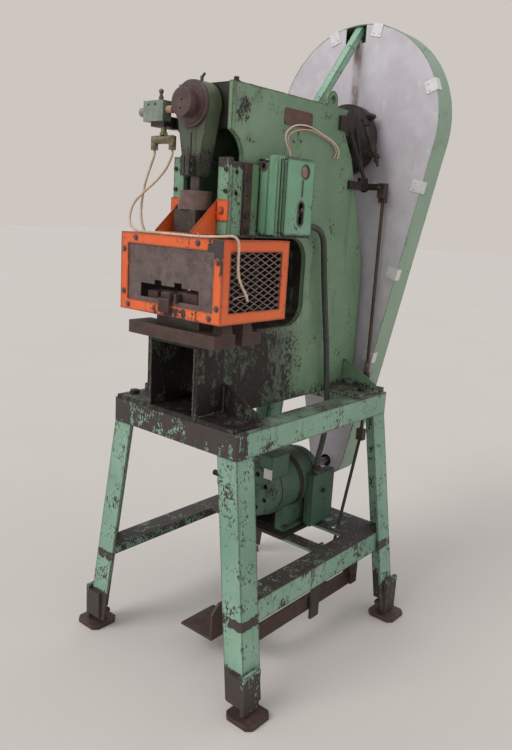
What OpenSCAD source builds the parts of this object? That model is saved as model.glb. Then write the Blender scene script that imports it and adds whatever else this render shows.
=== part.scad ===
// Small gap-frame mechanical stamping press on a welded stand.
// Millimetres, +Z up, front of the press towards -Y, drive at the back.
// The outline of each piece is written about the middle of the stand at floor level,
// and place() moves it so that the origin lies under the middle of the whole machine.

/* [Stand] */
// Width of the stand's top over the angle iron
stand_w = 456; // [420:1:520]
// Depth of the stand's top over the angle iron
stand_d = 686; // [660:1:740]
// Height of the stand's top face above the floor
stand_h = 716; // [660:1:800]
// Leg width of the angle iron
angle_w = 63.5; // [50:0.5:76]
// Wall of the angle iron
angle_t = 6.4; // [5:0.1:9]
// How far each leg leans out sideways from its top to the floor
leg_lean_x = 90; // [60:1:120]
// How far each leg leans out to the front or the back
leg_lean_y = 21; // [10:1:40]
// Height of the top face of the lower rails
rail_h = 285; // [240:1:330]
// Side of a foot pad
pad_w = 88; // [70:1:110]
// Thickness of a foot pad
pad_t = 12; // [8:1:16]

/* [Press frame] */
// Width of the press frame over its side plates
frame_w = 180; // [160:1:220]
// Thickness of the side plates
plate_t = 12.7; // [10:0.1:16]
// Height of the press frame above the stand
frame_h = 804; // [790:1:860]
// How far the lower jaw reaches in front of the stand's middle
jaw_front = 345; // [335:1:360]
// How far the back of the frame lies behind the stand's middle
frame_back = 352; // [340:1:356]
// How far the back of the throat lies behind the stand's middle
throat_back = 58; // [30:1:80]
// Radius of the throat's corners
throat_r = 60; // [40:1:80]
// Height of the bolster's seat above the stand
seat_h = 193; // [180:1:210]
// Height of the throat's roof above the stand
roof_h = 449; // [430:1:460]

/* [Drive] */
// Half of the stroke
throw = 10; // [6:0.5:12]
// Height of the crankshaft's axis above the stand
crank_h = 740; // [730:1:750]
// Diameter of the crankshaft's journals
shaft_d = 50; // [44:1:56]
// Diameter of the flywheel
wheel_d = 430; // [380:1:470]
// Width of the flywheel's rim
wheel_w = 58; // [48:1:60]
// Diameter of the motor pulley
pulley_d = 76; // [64:1:90]
// Radius of the motor's shell
motor_r = 90; // [80:1:100]
// Height of the motor's axis above the lower rails
motor_h = 142; // [135:1:150]

/* [Ram and tooling] */
// Width of the ram's body
ram_w = 72; // [66:1:84]
// Depth of the ram's body
ram_d = 72; // [68:1:84]
// Diameter of the adjusting screw
screw_d = 26; // [22:1:30]
// Width of the bolster plate
bolster_w = 304; // [280:1:330]
// Depth of the bolster plate
bolster_d = 168; // [150:1:180]
// Thickness of the bolster plate
bolster_t = 32; // [25:1:40]

/* [Guards] */
// Width of the cage in front of the ram
cage_w = 352; // [340:1:370]
// Height of the cage
cage_h = 193; // [180:1:200]
// Width of the cage's strips
strip_w = 27; // [20:1:34]
// Radius of the flywheel guard's round top
hood_r = 282; // [270:1:300]
// Depth of the flywheel guard
hood_d = 80; // [76:1:90]

/* [Treadle] */
// Distance from the treadle's pivot to the rod's lower end
treadle_arm = 110; // [90:1:140]
// Largest turn of the treadle in degrees
treadle_turn = 6; // [3:0.5:8]

/* [Hidden] */
$fn = 48;
fit = 0.05;     // running clearance on a radius
gap = 0.3;      // clearance between pieces that only lie close
slide_fit = 0.1;
eps = 0.01;

stand_z = stand_h - angle_w;             // underside of the stand's top frame
base_z = stand_h;                        // underside of the press frame
top_z = base_z + frame_h;
seat_z = base_z + seat_h;
bolster_z = seat_z + bolster_t;          // working face of the bolster
roof_z = base_z + roof_h;
crank_z = base_z + crank_h;
pin_z = crank_z + throw;                 // crank pin at top dead centre
head_front = -266;                       // front edge of the side plates in the head
gib_back = -221;                         // front edge of the side plates behind the gibs
ram_y = -284;                            // middle of the ram and the connecting rod
in_x = frame_w / 2 - plate_t;
out_x = frame_w / 2;

wheel_y = 418;                           // middle of the flywheel, the belt and the pulley
hood_y = 378;                            // front face of the flywheel guard
hood_z = crank_z + 49;                   // middle of the guard's round top
hood_low_z = rail_h + motor_h + 20;      // middle of the guard's round bottom
hood_low_r = 66;
sheet_t = 1.5;
motor_z = rail_h + motor_h;

// The whole machine reaches from the front pads to the back of the flywheel guard
function middle_y() = (hood_y + hood_d - foot_y - pad_w / 2) / 2;
module place() { translate([0, -middle_y(), 0]) children(); }

module mirrored() { children(); mirror([1, 0, 0]) children(); }
module both_ends() { children(); mirror([0, 1, 0]) children(); }

// Cylinders along X and Y that start at a point
module rod_x(p, r, l) { translate(p) rotate([0, 90, 0]) cylinder(r = r, h = l); }
module rod_y(p, r, l) { translate(p) rotate([-90, 0, 0]) cylinder(r = r, h = l); }

// A box given by its lowest and highest corners
module block(a, b) { translate(a) cube(b - a); }

// A plate whose outline lies in the Y-Z plane, from x = a to x = b
module plate_yz(a, b) { translate([a, 0, 0]) rotate([90, 0, 90]) linear_extrude(b - a) children(); }
// A plate whose outline lies in the X-Z plane, from y = a to y = b
module plate_xz(a, b) { translate([0, b, 0]) rotate([90, 0, 0]) linear_extrude(b - a) children(); }

// A rectangle with round corners, made of squares and circles
module round_rect(w, d, r) {
    square([w - 2 * r, d], center = true);
    square([w, d - 2 * r], center = true);
    for (x = [-1, 1], y = [-1, 1]) translate([x * (w / 2 - r), y * (d / 2 - r)]) circle(r);
}

module hex_head(r, h) { cylinder(r = r, h = h, $fn = 6); }

function arc(cx, cy, r, a, b, n = 8) =
    [for (i = [0 : n]) [cx + r * cos(a + (b - a) * i / n), cy + r * sin(a + (b - a) * i / n)]];

// Two arcs one above the other, joined by the straight lines that touch both
function teardrop(z1, r1, z0, r0) = let (a = asin((r1 - r0) / (z1 - z0)))
    concat(arc(0, z1, r1, -a, 180 + a, 72), arc(0, z0, r0, 180 + a, 360 - a, 24));

// A round tube swept along points, closed at both ends
function unit(v) = v / norm(v);
function heading(p, i) = unit(p[min(i + 1, len(p) - 1)] - p[max(i - 1, 0)]);
function side_of(d) = unit(cross(d, abs(d[0]) > 0.9 ? [0, 1, 0] : [1, 0, 0]));
function carried(p, i) = i == 0 ? side_of(heading(p, 0))
    : let (s = carried(p, i - 1), d = heading(p, i)) unit(s - d * (s * d));
function ring_at(p, i, r, n) = let (d = heading(p, i), s = carried(p, i), t = cross(d, s))
    [for (k = [0 : n - 1]) p[i] + r * (s * cos(360 * k / n) + t * sin(360 * k / n))];
module swept(p, r, n) {
    m = len(p);
    pts = [for (i = [0 : m - 1]) each ring_at(p, i, r, n)];
    sides = [for (i = [0 : m - 2], k = [0 : n - 1])
        [i * n + k, i * n + (k + 1) % n, (i + 1) * n + (k + 1) % n, (i + 1) * n + k]];
    polyhedron(pts, concat([[for (k = [n - 1 : -1 : 0]) k]], sides,
        [[for (k = [0 : n - 1]) (m - 1) * n + k]]));
}
// A smooth line through points
function spline(p, n) = concat([for (i = [0 : len(p) - 2], j = [0 : n - 1])
    let (a = p[max(i - 1, 0)], b = p[i], c = p[i + 1], d = p[min(i + 2, len(p) - 1)], t = j / n)
    0.5 * (2 * b + (c - a) * t + (2 * a - 5 * b + 4 * c - d) * t * t
        + (3 * b - a - 3 * c + d) * t * t * t)], [p[len(p) - 1]]);

// Stand: a top frame and lower rails of angle iron on four leaning legs
top_opening_w = stand_w - 2 * angle_w;
top_opening_d = stand_d - 2 * angle_w;
guide_y = stand_d / 2 + 13;              // the trip rod runs just behind the stand
rod_x0 = 140;
guide_z = stand_z + 16;
module stand_top() {
    color("mediumaquamarine") difference() {
        translate([0, 0, stand_z]) linear_extrude(angle_w) round_rect(stand_w, stand_d, 12);
        translate([0, 0, stand_z - 1]) linear_extrude(angle_w - angle_t + 1)
            round_rect(stand_w - 2 * angle_t, stand_d - 2 * angle_t, 6);
        block([-top_opening_w / 2, -top_opening_d / 2, stand_z], [top_opening_w / 2, top_opening_d / 2, stand_h + 1]);
        for (x = [-1, 1], y = bolt_ys) translate([x * bolt_x, y, stand_z]) cylinder(r = 7, h = angle_w + 1);
    }
    color("dimgray") difference() {
        block([rod_x0 - 14, stand_d / 2, guide_z - 7], [rod_x0 + 14, guide_y + 12, guide_z + 7]);
        translate([rod_x0, guide_y, guide_z - 8]) cylinder(r = trip_rod_r + 0.5, h = 16);
    }
}

lean_x = atan(leg_lean_x / stand_z);
lean_y = atan(leg_lean_y / stand_z);
leg_in = 4;
leg_low_z = pad_t + 20;
module angle_leg() {
    difference() {
        translate([-angle_w, 0, 0]) square([angle_w, angle_w]);
        translate([-angle_w - 1, angle_t]) square([angle_w - angle_t + 1, angle_w]);
    }
}
// One leg at the front right: its corner points outwards
module leg() {
    intersection() {
        translate([stand_w / 2 - leg_in, -stand_d / 2 + leg_in, stand_z]) rotate([-lean_y, -lean_x, 0])
            translate([0, 0, -stand_z - 60]) linear_extrude(stand_z + 120) angle_leg();
        block([0, -stand_d, leg_low_z], [stand_w, 0, stand_z]);
    }
}
function leg_x(z) = stand_w / 2 - leg_in + leg_lean_x * (stand_z - z) / stand_z;
function leg_y(z) = stand_d / 2 - leg_in + leg_lean_y * (stand_z - z) / stand_z;
foot_x = leg_x(0) - 12;
foot_y = leg_y(0) - 24;
clip_t = 9;
// The foot bracket wraps the outside of the leg's lower end and carries the stud
module foot_bracket() {
    difference() {
        union() {
            block([foot_x - 46, -leg_y(60) - clip_t, pad_t + 26], [foot_x + 6, -leg_y(60) + 1, 116]);
            block([leg_x(70) - 2, -leg_y(60) - clip_t, pad_t + 6], [leg_x(70) + clip_t, -leg_y(60) + 50, 128]);
            block([foot_x - 30, -foot_y - 18, pad_t + 22], [leg_x(70), -foot_y + 24, pad_t + 32]);
        }
        translate([foot_x - stud_in, -foot_y + 4, 0]) cylinder(r = stud_r + gap, h = 60);
        leg();
    }
}
stud_r = 7;
stud_in = 16;
module stand_legs() {
    color("mediumaquamarine") both_ends() mirrored() leg();
    color("dimgray") both_ends() mirrored() foot_bracket();
}

module foot_pads() {
    color("saddlebrown") both_ends() mirrored() translate([foot_x, -foot_y, 0]) difference() {
        linear_extrude(pad_t) difference() {
            square(pad_w, center = true);
            for (a = [45 : 90 : 315]) rotate(a) translate([pad_w * 0.6, -30]) square([30, 60]);
        }
        translate([-stud_in, 4, pad_t - 6]) cylinder(r = stud_r + fit, h = 7);
    }
}

module foot_studs() {
    color("gray") both_ends() mirrored() translate([foot_x - stud_in, -foot_y + 4, pad_t - 6]) {
        cylinder(r = stud_r, h = 48);
        translate([0, 0, 6]) hex_head(12, 10);
        translate([0, 0, 38 + gap]) hex_head(12, 9);
    }
}

// Lower rails between the legs, two crossbars under the motor and a corner plate
rail_x = leg_x(rail_h) - 7;
rail_y = leg_y(rail_h) - 7;
cross_ys = [40, 190];
cross_t = 8;
module rail_profile() {
    translate([-angle_w, 0, 0]) square([angle_w, angle_t]);
    translate([-angle_t, -angle_w + angle_t]) square([angle_t, angle_w]);
}
module lower_rails() {
    link_x = rod_x0 + 14;
    color("mediumaquamarine") difference() {
        union() {
            mirrored() translate([rail_x, rail_y, rail_h - angle_t]) rotate([90, 0, 0])
                linear_extrude(2 * rail_y) rail_profile();
            translate([-rail_x, rail_y, rail_h - angle_t]) rotate([90, 0, 90])
                linear_extrude(2 * rail_x) rail_profile();
            for (y = cross_ys) block([-rail_x + 1, y, rail_h - cross_t], [rail_x - 1, y + 50, rail_h]);
            block([link_x - 34, cross_ys[1] + 49, rail_h - cross_t], [rail_x - 1, rail_y - 1, rail_h]);
            // guide bar beside the treadle's arm
            block([arm_x + 8, 68, 48], [arm_x + 16, 108, rail_h - 1]);
        }
        both_ends() mirrored() leg();
        block([link_x - 14, cross_ys[1] + 24, rail_h - 10], [link_x + 7, cross_ys[1] + 112, rail_h + 1]);
    }
}

// Press frame: two profiled side plates joined by webs, bearing plates and four feet
function rear_edge() = [[frame_back, base_z], [frame_back, base_z + 377], [312, base_z + 481],
    [270, base_z + 612], [247, base_z + 676], [204, base_z + 738], [190, base_z + 769], [214, top_z]];
function front_edge() = concat([[head_front, top_z], [head_front, top_z - 106]],
    arc(head_front - 22, top_z - 172, 68, 71, 10, 6), [[gib_back, top_z - 178], [gib_back, roof_z]]);
lip = 21;                                // the throat's floor stands over the bolster's seat
function throat_arcs(r) = concat(
    arc(throat_back - throat_r, roof_z - throat_r, r, 90, 0),
    arc(throat_back - throat_r, seat_z + lip + throat_r, r, 0, -90));
function throat_edge() = concat(throat_arcs(throat_r),
    [[bolster_back, seat_z + lip], [bolster_back, seat_z], [-jaw_front, seat_z], [-jaw_front, base_z]]);
bolster_front = -358;
bolster_back = bolster_front + bolster_d;
web_t = 10;
bolt_x = 192;
bolt_ys = [-300, 248];
foot_t = 12;
hub_r = 46;
bush_r = shaft_d / 2 + 8;
front_wall = head_front + 10;
rear_wall = 178;
hub_back = 210;
bush_l = 60;
ear_y = 134;
ear_r = 22;
ear_hole_r = 9;
module side_outline() { polygon(concat(rear_edge(), front_edge(), throat_edge())); }
inner = in_x - eps;                      // the cross plates are welded in between the side plates
module side_plates() {
    mirrored() difference() {
        plate_yz(in_x, out_x) side_outline();
        for (z = gib_bolt_zs) rod_x([in_x - 5, -212, z], 4.5, 30);
    }
}
// Holes in the right side plate where the two wires enter
module wire_holes() {
    for (p = [wire_upper_route(), wire_lower_route()]) {
        last = p[len(p) - 1];
        rod_x([out_x - 20, last[1], last[2]], wire_r + 0.6, 30);
    }
}
module hub_hole() { rod_y([0, front_wall - 3, crank_z], hub_r + eps, hub_back + 34 - front_wall); }
module top_plate() {
    plate_yz(-inner, inner)
        polygon([[front_wall, top_z - web_t], [front_wall, top_z], [214, top_z], [207, top_z - web_t]]);
}
module rear_web() {
    difference() {
        plate_yz(-inner, inner) difference() {
            polygon(concat(rear_edge(), [[0, top_z], [0, base_z]]));
            translate([-web_t, 0]) polygon(concat(rear_edge(), [[0, top_z + 1], [0, base_z]]));
        }
        block([-out_x, -5, top_z - web_t - eps], [out_x, 230, top_z + 2]);
        hub_hole();
    }
}
module throat_liner() {
    plate_yz(-inner, inner) difference() {
        polygon(concat([[gib_back, roof_z + web_t]], throat_arcs(throat_r + web_t),
            [[bolster_back, seat_z + lip - web_t], [bolster_back, seat_z + lip + 1], [gib_back, roof_z - 1]]));
        polygon(concat([[gib_back - 30, roof_z]], throat_arcs(throat_r), [[bolster_back - 30, seat_z + lip]]));
    }
}
module bearing_walls() {
    difference() {
        union() {
            block([-inner, front_wall, top_z - 104], [inner, front_wall + 16, top_z - web_t - eps]);
            block([-inner, rear_wall - 16, crank_z - 70], [inner, rear_wall, top_z - web_t - eps]);
        }
        hub_hole();
    }
    difference() {
        rod_y([0, front_wall - 2, crank_z], hub_r, hub_back + 2 - front_wall);
        rod_y([0, front_wall - 3, crank_z], bush_r, hub_back + 34 - front_wall);
    }
}
module jaw_plates() {
    block([-inner, -jaw_front, seat_z - web_t], [inner, bolster_back - eps, seat_z]);
    block([-inner, bolster_back, seat_z - web_t], [inner, bolster_back + web_t, seat_z + lip - web_t - eps]);
    block([-inner, -jaw_front, base_z], [inner, -jaw_front + 170, base_z + foot_t]);
}
module press_foot(y0, y1, rib_y) {
    x0 = out_x + eps;
    difference() {
        block([x0, y0, base_z], [212, y1, base_z + foot_t]);
        translate([bolt_x, y0 < 0 ? bolt_ys[0] : bolt_ys[1], base_z - 1]) cylinder(r = 7, h = foot_t + 2);
    }
    plate_xz(rib_y, rib_y + 8)
        polygon([[x0, base_z + foot_t], [x0, base_z + 84], [out_x + 10, base_z + 84],
            [208, base_z + 28], [208, base_z + foot_t]]);
}
// Lifting ear welded on the right edge of the frame's top
module lifting_ear() {
    difference() {
        plate_yz(out_x - plate_t, out_x) {
            translate([ear_y, top_z + 16]) circle(ear_r);
            translate([ear_y - ear_r, top_z - 2]) square([2 * ear_r, 18]);
        }
        block([in_x - 1, ear_y - ear_r - 1, top_z - 20], [out_x + 1, ear_y + ear_r + 1, top_z + eps]);
        rod_x([out_x - 20, ear_y, top_z + 16], ear_hole_r, 30);
    }
}
module press_frame() {
    color("mediumseagreen") {
        difference() {
            side_plates();
            wire_holes();
        }
        top_plate();
        rear_web();
        throat_liner();
        bearing_walls();
        jaw_plates();
        mirrored() press_foot(-343, -236, -250);
        mirrored() press_foot(196, 344, 292);
        mirrored() block([out_x + eps, -196, roof_z + 6], [out_x + 9, -168, top_z - 178]);
        lifting_ear();
    }
}

module hold_down_bolts() {
    color("dimgray") mirrored() for (y = bolt_ys) translate([bolt_x, y, 0]) {
        translate([0, 0, stand_h - angle_t - 10]) cylinder(r = 6.5, h = foot_t + angle_t + 20);
        translate([0, 0, stand_h + foot_t + gap]) hex_head(13, 9);
        translate([0, 0, stand_h - angle_t - 9 - gap]) hex_head(13, 9);
    }
}

// Bolster plate with open slots at its right and left edges and a slug hole
slot_y = -272;
module bolster_plate() {
    color("dimgray") difference() {
        block([-bolster_w / 2, bolster_front, seat_z], [bolster_w / 2, bolster_back - gap, bolster_z]);
        mirrored() block([bolster_w / 2 - 34, slot_y - 13, seat_z - 1], [bolster_w / 2 + 1, slot_y + 13, bolster_z + 1]);
        translate([0, ram_y, seat_z - 1]) cylinder(r = 28, h = bolster_t + 2);
    }
}
module die_clamp() {
    // a block that tapers towards its top
    translate([0, 0, bolster_z]) polyhedron(
        [[118, -18, 0], [152, -18, 0], [152, 18, 0], [118, 18, 0],
         [124, -12, 38], [147, -12, 38], [147, 12, 38], [124, 12, 38]],
        [[0, 1, 2, 3], [4, 7, 6, 5], [0, 4, 5, 1], [1, 5, 6, 2], [2, 6, 7, 3], [3, 7, 4, 0]]);
}
module die_clamps() {
    color("saddlebrown") for (y = [-312, -240]) translate([0, y, 0]) die_clamp();
}

// Tooling: a stepped lower die and the punch holder under the ram
die_w = 150;
die_d = 96;
die_top = bolster_z + 58;
module lower_die() {
    color("dimgray") difference() {
        union() {
            block([-die_w / 2, ram_y - die_d / 2, bolster_z], [die_w / 2, ram_y + die_d / 2, bolster_z + 30]);
            block([-die_w / 2 + 14, ram_y - 34, bolster_z + 29], [-22, ram_y + 34, die_top]);
            block([22, ram_y - 34, bolster_z + 29], [die_w / 2 - 14, ram_y + 34, die_top]);
            block([-30, ram_y - 44, bolster_z + 29], [12, ram_y - 14, die_top + 4]);
        }
        translate([0, ram_y, bolster_z - 1]) cylinder(r = 12, h = 40);
    }
}
ram_low = 1080;
ram_top = base_z + 509;
module upper_die() {
    color("slategray") {
        block([-48, ram_y - 40, ram_low - 22], [48, ram_y + 40, ram_low]);
        translate([0, ram_y + 6, die_top + 22]) cylinder(r = 10, h = ram_low - die_top - 43);
    }
}

// Ram with side wings that run behind the keepers
wing_x = in_x - 2;
wing_front = -258;
wing_back = -237;
ball_r = 16;
pocket_r = ball_r + throw + 3;
ball_z = ram_top - 34;
module ram() {
    color("darkslategray") difference() {
        union() {
            block([-ram_w / 2, ram_y - ram_d / 2, ram_low], [ram_w / 2, ram_y + ram_d / 2 - 1, ram_top]);
            block([-wing_x, wing_front + slide_fit, ram_low + 40], [wing_x, wing_back - slide_fit, ram_top]);
        }
        translate([0, ram_y, ball_z - ball_r - 4]) cylinder(r = pocket_r, h = 80);
    }
}
// Two round rings on the ram that hold the ball end of the screw
lock_r = 42;
module lock_ring() {
    color("brown") translate([0, ram_y, ram_top]) difference() {
        union() {
            cylinder(r = lock_r, h = 22);
            translate([0, 0, 21]) cylinder(r = lock_r - 2, h = 24);
            translate([0, 0, 20]) cylinder(r = lock_r - 5, h = 3);
        }
        translate([0, 0, -1]) cylinder(r = screw_d / 2 + throw + 3, h = 50);
    }
}

// Gibs: guide blocks, front keepers, side bars and their screws
gib_top = base_z + 626;
gib_low = roof_z + 4;
gib_bolt_zs = [gib_low + 14, gib_low + 50, gib_low + 138];
keeper_zs = [gib_low + 100, gib_top - 24];
module gib_blocks() {
    color("mediumaquamarine") mirrored() difference() {
        union() {
            block([wing_x + slide_fit, wing_front, gib_low], [out_x + 4, gib_back - eps, gib_top]);
            block([ram_w / 2 + 1, wing_back, gib_low], [wing_x + 1, gib_back - eps, gib_top]);
        }
        for (z = keeper_zs) rod_x([out_x - 6, -244, z], 5, 12);
        for (z = [keeper_zs[0] + 4, keeper_zs[1] + 4]) rod_y([out_x - 5, wing_front - 1, z], 3, 22);
    }
}
module gib_keepers() {
    color("mediumaquamarine") mirrored() difference() {
        block([58, wing_front - 12, gib_low], [out_x + 4, wing_front - eps, gib_top + 8]);
        for (z = [keeper_zs[0] + 4, keeper_zs[1] + 4]) rod_y([out_x - 5, wing_front - 13, z], 3, 22);
    }
}
module gib_bars() {
    color("saddlebrown") mirrored() difference() {
        block([out_x, gib_back + eps, roof_z + 6], [out_x + 12, -196 - gap, gib_top]);
        for (z = gib_bolt_zs) rod_x([out_x - 1, -212, z], 4.5, 20);
        rod_x([out_x - 1, -212, gib_low + 96], 3, 20);
    }
}
module gib_bolts() {
    color("gray") mirrored() {
        for (z = gib_bolt_zs) {
            rod_x([in_x, -212, z], 4.2, plate_t + 14);
            translate([out_x + 12 + gap, -212, z]) rotate([0, 90, 0]) hex_head(8, 5);
        }
        for (z = [keeper_zs[0] + 4, keeper_zs[1] + 4]) {
            rod_y([out_x - 5, wing_front - 13, z], 2.8, 20);
            rod_y([out_x - 5, wing_front - 17, z], 5, 4.7);
        }
    }
}

// Crank train
module shaft_bushes() {
    color("goldenrod") for (y = [front_wall - 2, hub_back - bush_l]) difference() {
        rod_y([0, y, crank_z], bush_r - fit, bush_l);
        rod_y([0, y - 1, crank_z], shaft_d / 2 + fit, bush_l + 2);
    }
}
rod_front = ram_y - 22;
rod_back = ram_y + 22;
ring_r = 53;                             // the rod's big end
crank_pin_r = 21;
module crankshaft() {
    color("slategray") {
        rod_y([0, front_wall - 3, crank_z], shaft_d / 2, wheel_y + 36 - front_wall);
        rod_y([0, rod_back + gap, crank_z], shaft_d / 2 + 11, 3);
        rod_y([0, rod_front - gap, pin_z], crank_pin_r, rod_back + gap + 1 - rod_front + gap);
        // clutch collar beside the flywheel's hub
        difference() {
            rod_y([0, 292, crank_z], 36, 22);
            block([26, 291, crank_z - 14], [40, 315, crank_z + 4]);
        }
    }
}
module crank_cap() {
    color("brown") difference() {
        union() {
            rod_y([0, rod_front - gap - 7, pin_z], 53, 7);
            rod_y([0, rod_front - gap - 37, pin_z], 32, 31);
            rod_y([0, rod_front - gap - 10, pin_z], 45, 4);
        }
        for (z = [-8, 10]) rod_y([z / 8, rod_front - gap - 38, pin_z + z - 6], 2.6, 12);
    }
}
module connecting_rod() {
    ear_z = ram_top + 78;
    color("darkseagreen") difference() {
        union() {
            rod_y([0, rod_front, pin_z], ring_r + 1, rod_back - rod_front);
            plate_xz(rod_front, rod_back) polygon([[-50, pin_z - 20], [-21, ear_z], [21, ear_z], [50, pin_z - 20]]);
            block([-14, rod_front - 20, ear_z], [14, rod_front + 1, ear_z + 46]);
        }
        rod_y([0, rod_front - 1, pin_z], crank_pin_r + fit, 60);
        translate([0, ram_y, ear_z - 1]) cylinder(r = screw_d / 2 + fit, h = 80);
        block([-1.5, rod_front - 21, ear_z - 1], [1.5, ram_y - screw_d / 2 + 4, ear_z + 98]);
        for (z = clamp_zs) rod_x([-15, rod_front - 10, ear_z + z], 4.2, 40);
    }
    color("gray") rod_like_nipple();
}
clamp_zs = [12, 33];
module rod_like_nipple() {
    translate([6, ram_y, pin_z + ring_r - 1]) cylinder(r = 4, h = 12);
    translate([6, ram_y, pin_z + ring_r + 9]) rotate([0, 50, 0]) cylinder(r = 3, h = 12);
}
module clamp_bolts() {
    ear_z = ram_top + 78;
    color("gray") for (z = clamp_zs) {
        rod_x([-20, rod_front - 10, ear_z + z], 4, 34 + 0.5);
        rod_x([14 + gap, rod_front - 10, ear_z + z], 7, 7);
        translate([-20, rod_front - 10, ear_z + z]) rotate([0, 90, 0]) hex_head(7.5, 5.7);
    }
}
module adjusting_screw() {
    color("silver") translate([0, ram_y, 0]) {
        translate([0, 0, ball_z]) sphere(r = ball_r);
        translate([0, 0, ball_z]) cylinder(r = screw_d / 2 - 4, h = ram_top + 11 - ball_z);
        translate([0, 0, ram_top + 10]) cylinder(r = screw_d / 2, h = 140);
    }
}

// Flywheel, brake and belt drive
groove_r = wheel_d / 2 - 12;
pulley_groove_r = pulley_d / 2 - 10;
module flywheel() {
    color("darkslategray") translate([0, wheel_y, crank_z]) rotate([90, 0, 0]) difference() {
        rotate_extrude($fn = 96) {
            translate([wheel_d / 2 - 34, -wheel_w / 2]) difference() {
                square([34, wheel_w]);
                polygon([[22, wheel_w / 2 - 6], [22, wheel_w / 2 + 6], [35, wheel_w / 2 + 10], [35, wheel_w / 2 - 10]]);
            }
            translate([50, -7]) square([wheel_d / 2 - 83, 14]);
            translate([shaft_d / 2 + fit, -34]) square([28, 68]);
        }
        for (a = [0 : 60 : 300]) rotate(a) translate([118, 0, -10]) cylinder(r = 32, h = 20);
    }
}
drum_y0 = 330;
drum_r = 96;
module brake_drum() {
    color("dimgray") difference() {
        rod_y([0, drum_y0, crank_z], drum_r, 34);
        rod_y([0, drum_y0 + 12, crank_z], drum_r - 12, 40);
        rod_y([0, drum_y0 - 1, crank_z], shaft_d / 2 + fit, 60);
    }
    color("dimgray") difference() {
        rod_y([0, drum_y0 + 11, crank_z], 36, 15);
        rod_y([0, drum_y0 + 10, crank_z], shaft_d / 2 + fit, 20);
    }
}
band_t = 5;
band_r = drum_r + gap;
band_mid = 8;                            // middle of the band's open side, in degrees above the right
band_open = 30;
pot_y = 318.5;                           // the tension spring hangs in front of the drum
// A lug across the band from radius a to radius b and from y0 to y1
module band_lug(angle, a, b, y0, y1) {
    translate([0, 0, crank_z]) rotate([0, -angle, 0]) block([a, y0, -5], [b, y1, 5]);
}
module brake_band() {
    color("black") difference() {
        rod_y([0, drum_y0 + 3, crank_z], band_r + band_t, 28);
        rod_y([0, drum_y0 + 2, crank_z], band_r, 30);
        // the open side of the band
        translate([0, drum_y0, crank_z]) rotate([0, -band_mid, 0])
            block([60, 0, -band_r * sin(band_open)], [140, 36, band_r * sin(band_open)]);
    }
    color("black") {
        upper = band_mid + band_open;
        lower = band_mid - band_open;
        band_lug(upper, band_r + 1, 112, pot_y - 9, drum_y0 + 29);
        band_lug(upper, 84, 111, pot_y - 8, drum_y0 - 1);
        band_lug(lower, band_r + 1, 118, pot_y - 9, drum_y0 + 29);
        band_lug(lower, 112, 142, pot_y - 8, drum_y0 - 1);
        band_lug(180, band_r + 1, drum_r + 16, drum_y0 + 5, drum_y0 + 29);
    }
    // tension rod and spring pot between the band's ends
    color("dimgray") translate([79, pot_y, crank_z + 51]) rotate([0, 156.7, 0]) {
        cylinder(r = 4, h = 140);
        translate([0, 0, -10]) cylinder(r = 8, h = 26);
        translate([0, 0, 22]) cylinder(r = 10.5, h = 76);
        translate([0, 0, 97]) cylinder(r = 8, h = 12);
        translate([0, 0, 118]) hex_head(8, 8);
    }
    // arm from the left side plate that anchors the band
    color("dimgray") block([-drum_r - 18, 150, crank_z - 12], [-drum_r - 6, drum_y0 + 31, crank_z + 12]);
    color("dimgray") block([-drum_r - 18, 150, crank_z - 12], [-out_x - eps, 192, crank_z + 12]);
}
// The belt is a closed loop round both grooves
module belt_outline(t) { polygon(teardrop(crank_z, groove_r + t, motor_z, pulley_groove_r + t)); }
module drive_belt() {
    color("black") plate_xz(wheel_y - 5, wheel_y + 5) difference() {
        belt_outline(9);
        belt_outline(gap);
    }
}

// Motor on its sliding base
motor_y0 = -20;
motor_y1 = 250;
base_y0 = 26;
base_y1 = 244;
motor_bolt_ys = [78, 192];
module motor_shell() {
    color("seagreen") difference() {
        union() {
            rod_y([0, motor_y0 + 50, motor_z], motor_r, motor_y1 - motor_y0 - 100);
            for (s = [-1, 1]) {
                block([s * 56 - 12, 60, rail_h + base_t], [s * 56 + 12, 195, motor_z - 60]);
                block([s * 62 - 18, 60, rail_h + base_t], [s * 62 + 18, 210, rail_h + base_t + 10]);
            }
        }
        rod_y([0, motor_y0 + 49, motor_z], motor_r - 14, motor_y1 - motor_y0 - 98);
        for (s = [-1, 1]) for (y = motor_bolt_ys) translate([s * 74, y, rail_h + base_t - 1]) cylinder(r = 3.5, h = 12);
    }
}
module motor_bell() {
    // a dished end cover with a bearing boss
    rotate([-90, 0, 0]) difference() {
        rotate_extrude($fn = 64) polygon(concat([[12, 50], [12, 2], [26, 2], [30, 8], [52, 12]],
            arc(motor_r - 28, 34, 24, -60, 0, 6), [[motor_r - 2, 50], [motor_r - 8, 50], [motor_r - 10, 36],
            [56, 22], [30, 20], [30, 50]]));
        for (a = [0 : 45 : 315]) rotate(a + 22.5) translate([56, 0, 0]) cylinder(r = 7, h = 26);
    }
}
module motor_bells() {
    color("seagreen") {
        translate([0, motor_y0, motor_z]) motor_bell();
        translate([0, motor_y1, motor_z]) mirror([0, 1, 0]) motor_bell();
    }
}
base_t = 8;
module motor_base() {
    color("dimgray") difference() {
        block([-96, base_y0, rail_h], [96, base_y1, rail_h + base_t]);
        for (s = [-1, 1]) for (y = [50, 190]) block([s * 26 - 20, y + 10, rail_h - 1], [s * 26 + 20, y + 20, rail_h + base_t + 1]);
    }
    color("gray") for (s = [-1, 1]) for (y = motor_bolt_ys) translate([s * 74, y, rail_h + base_t - 1]) {
        cylinder(r = 3.2, h = 18);
        translate([0, 0, 11 + gap]) hex_head(6, 5);
    }
}
connector_r = 11.5;
terminal_top = motor_z + 32;
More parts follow.
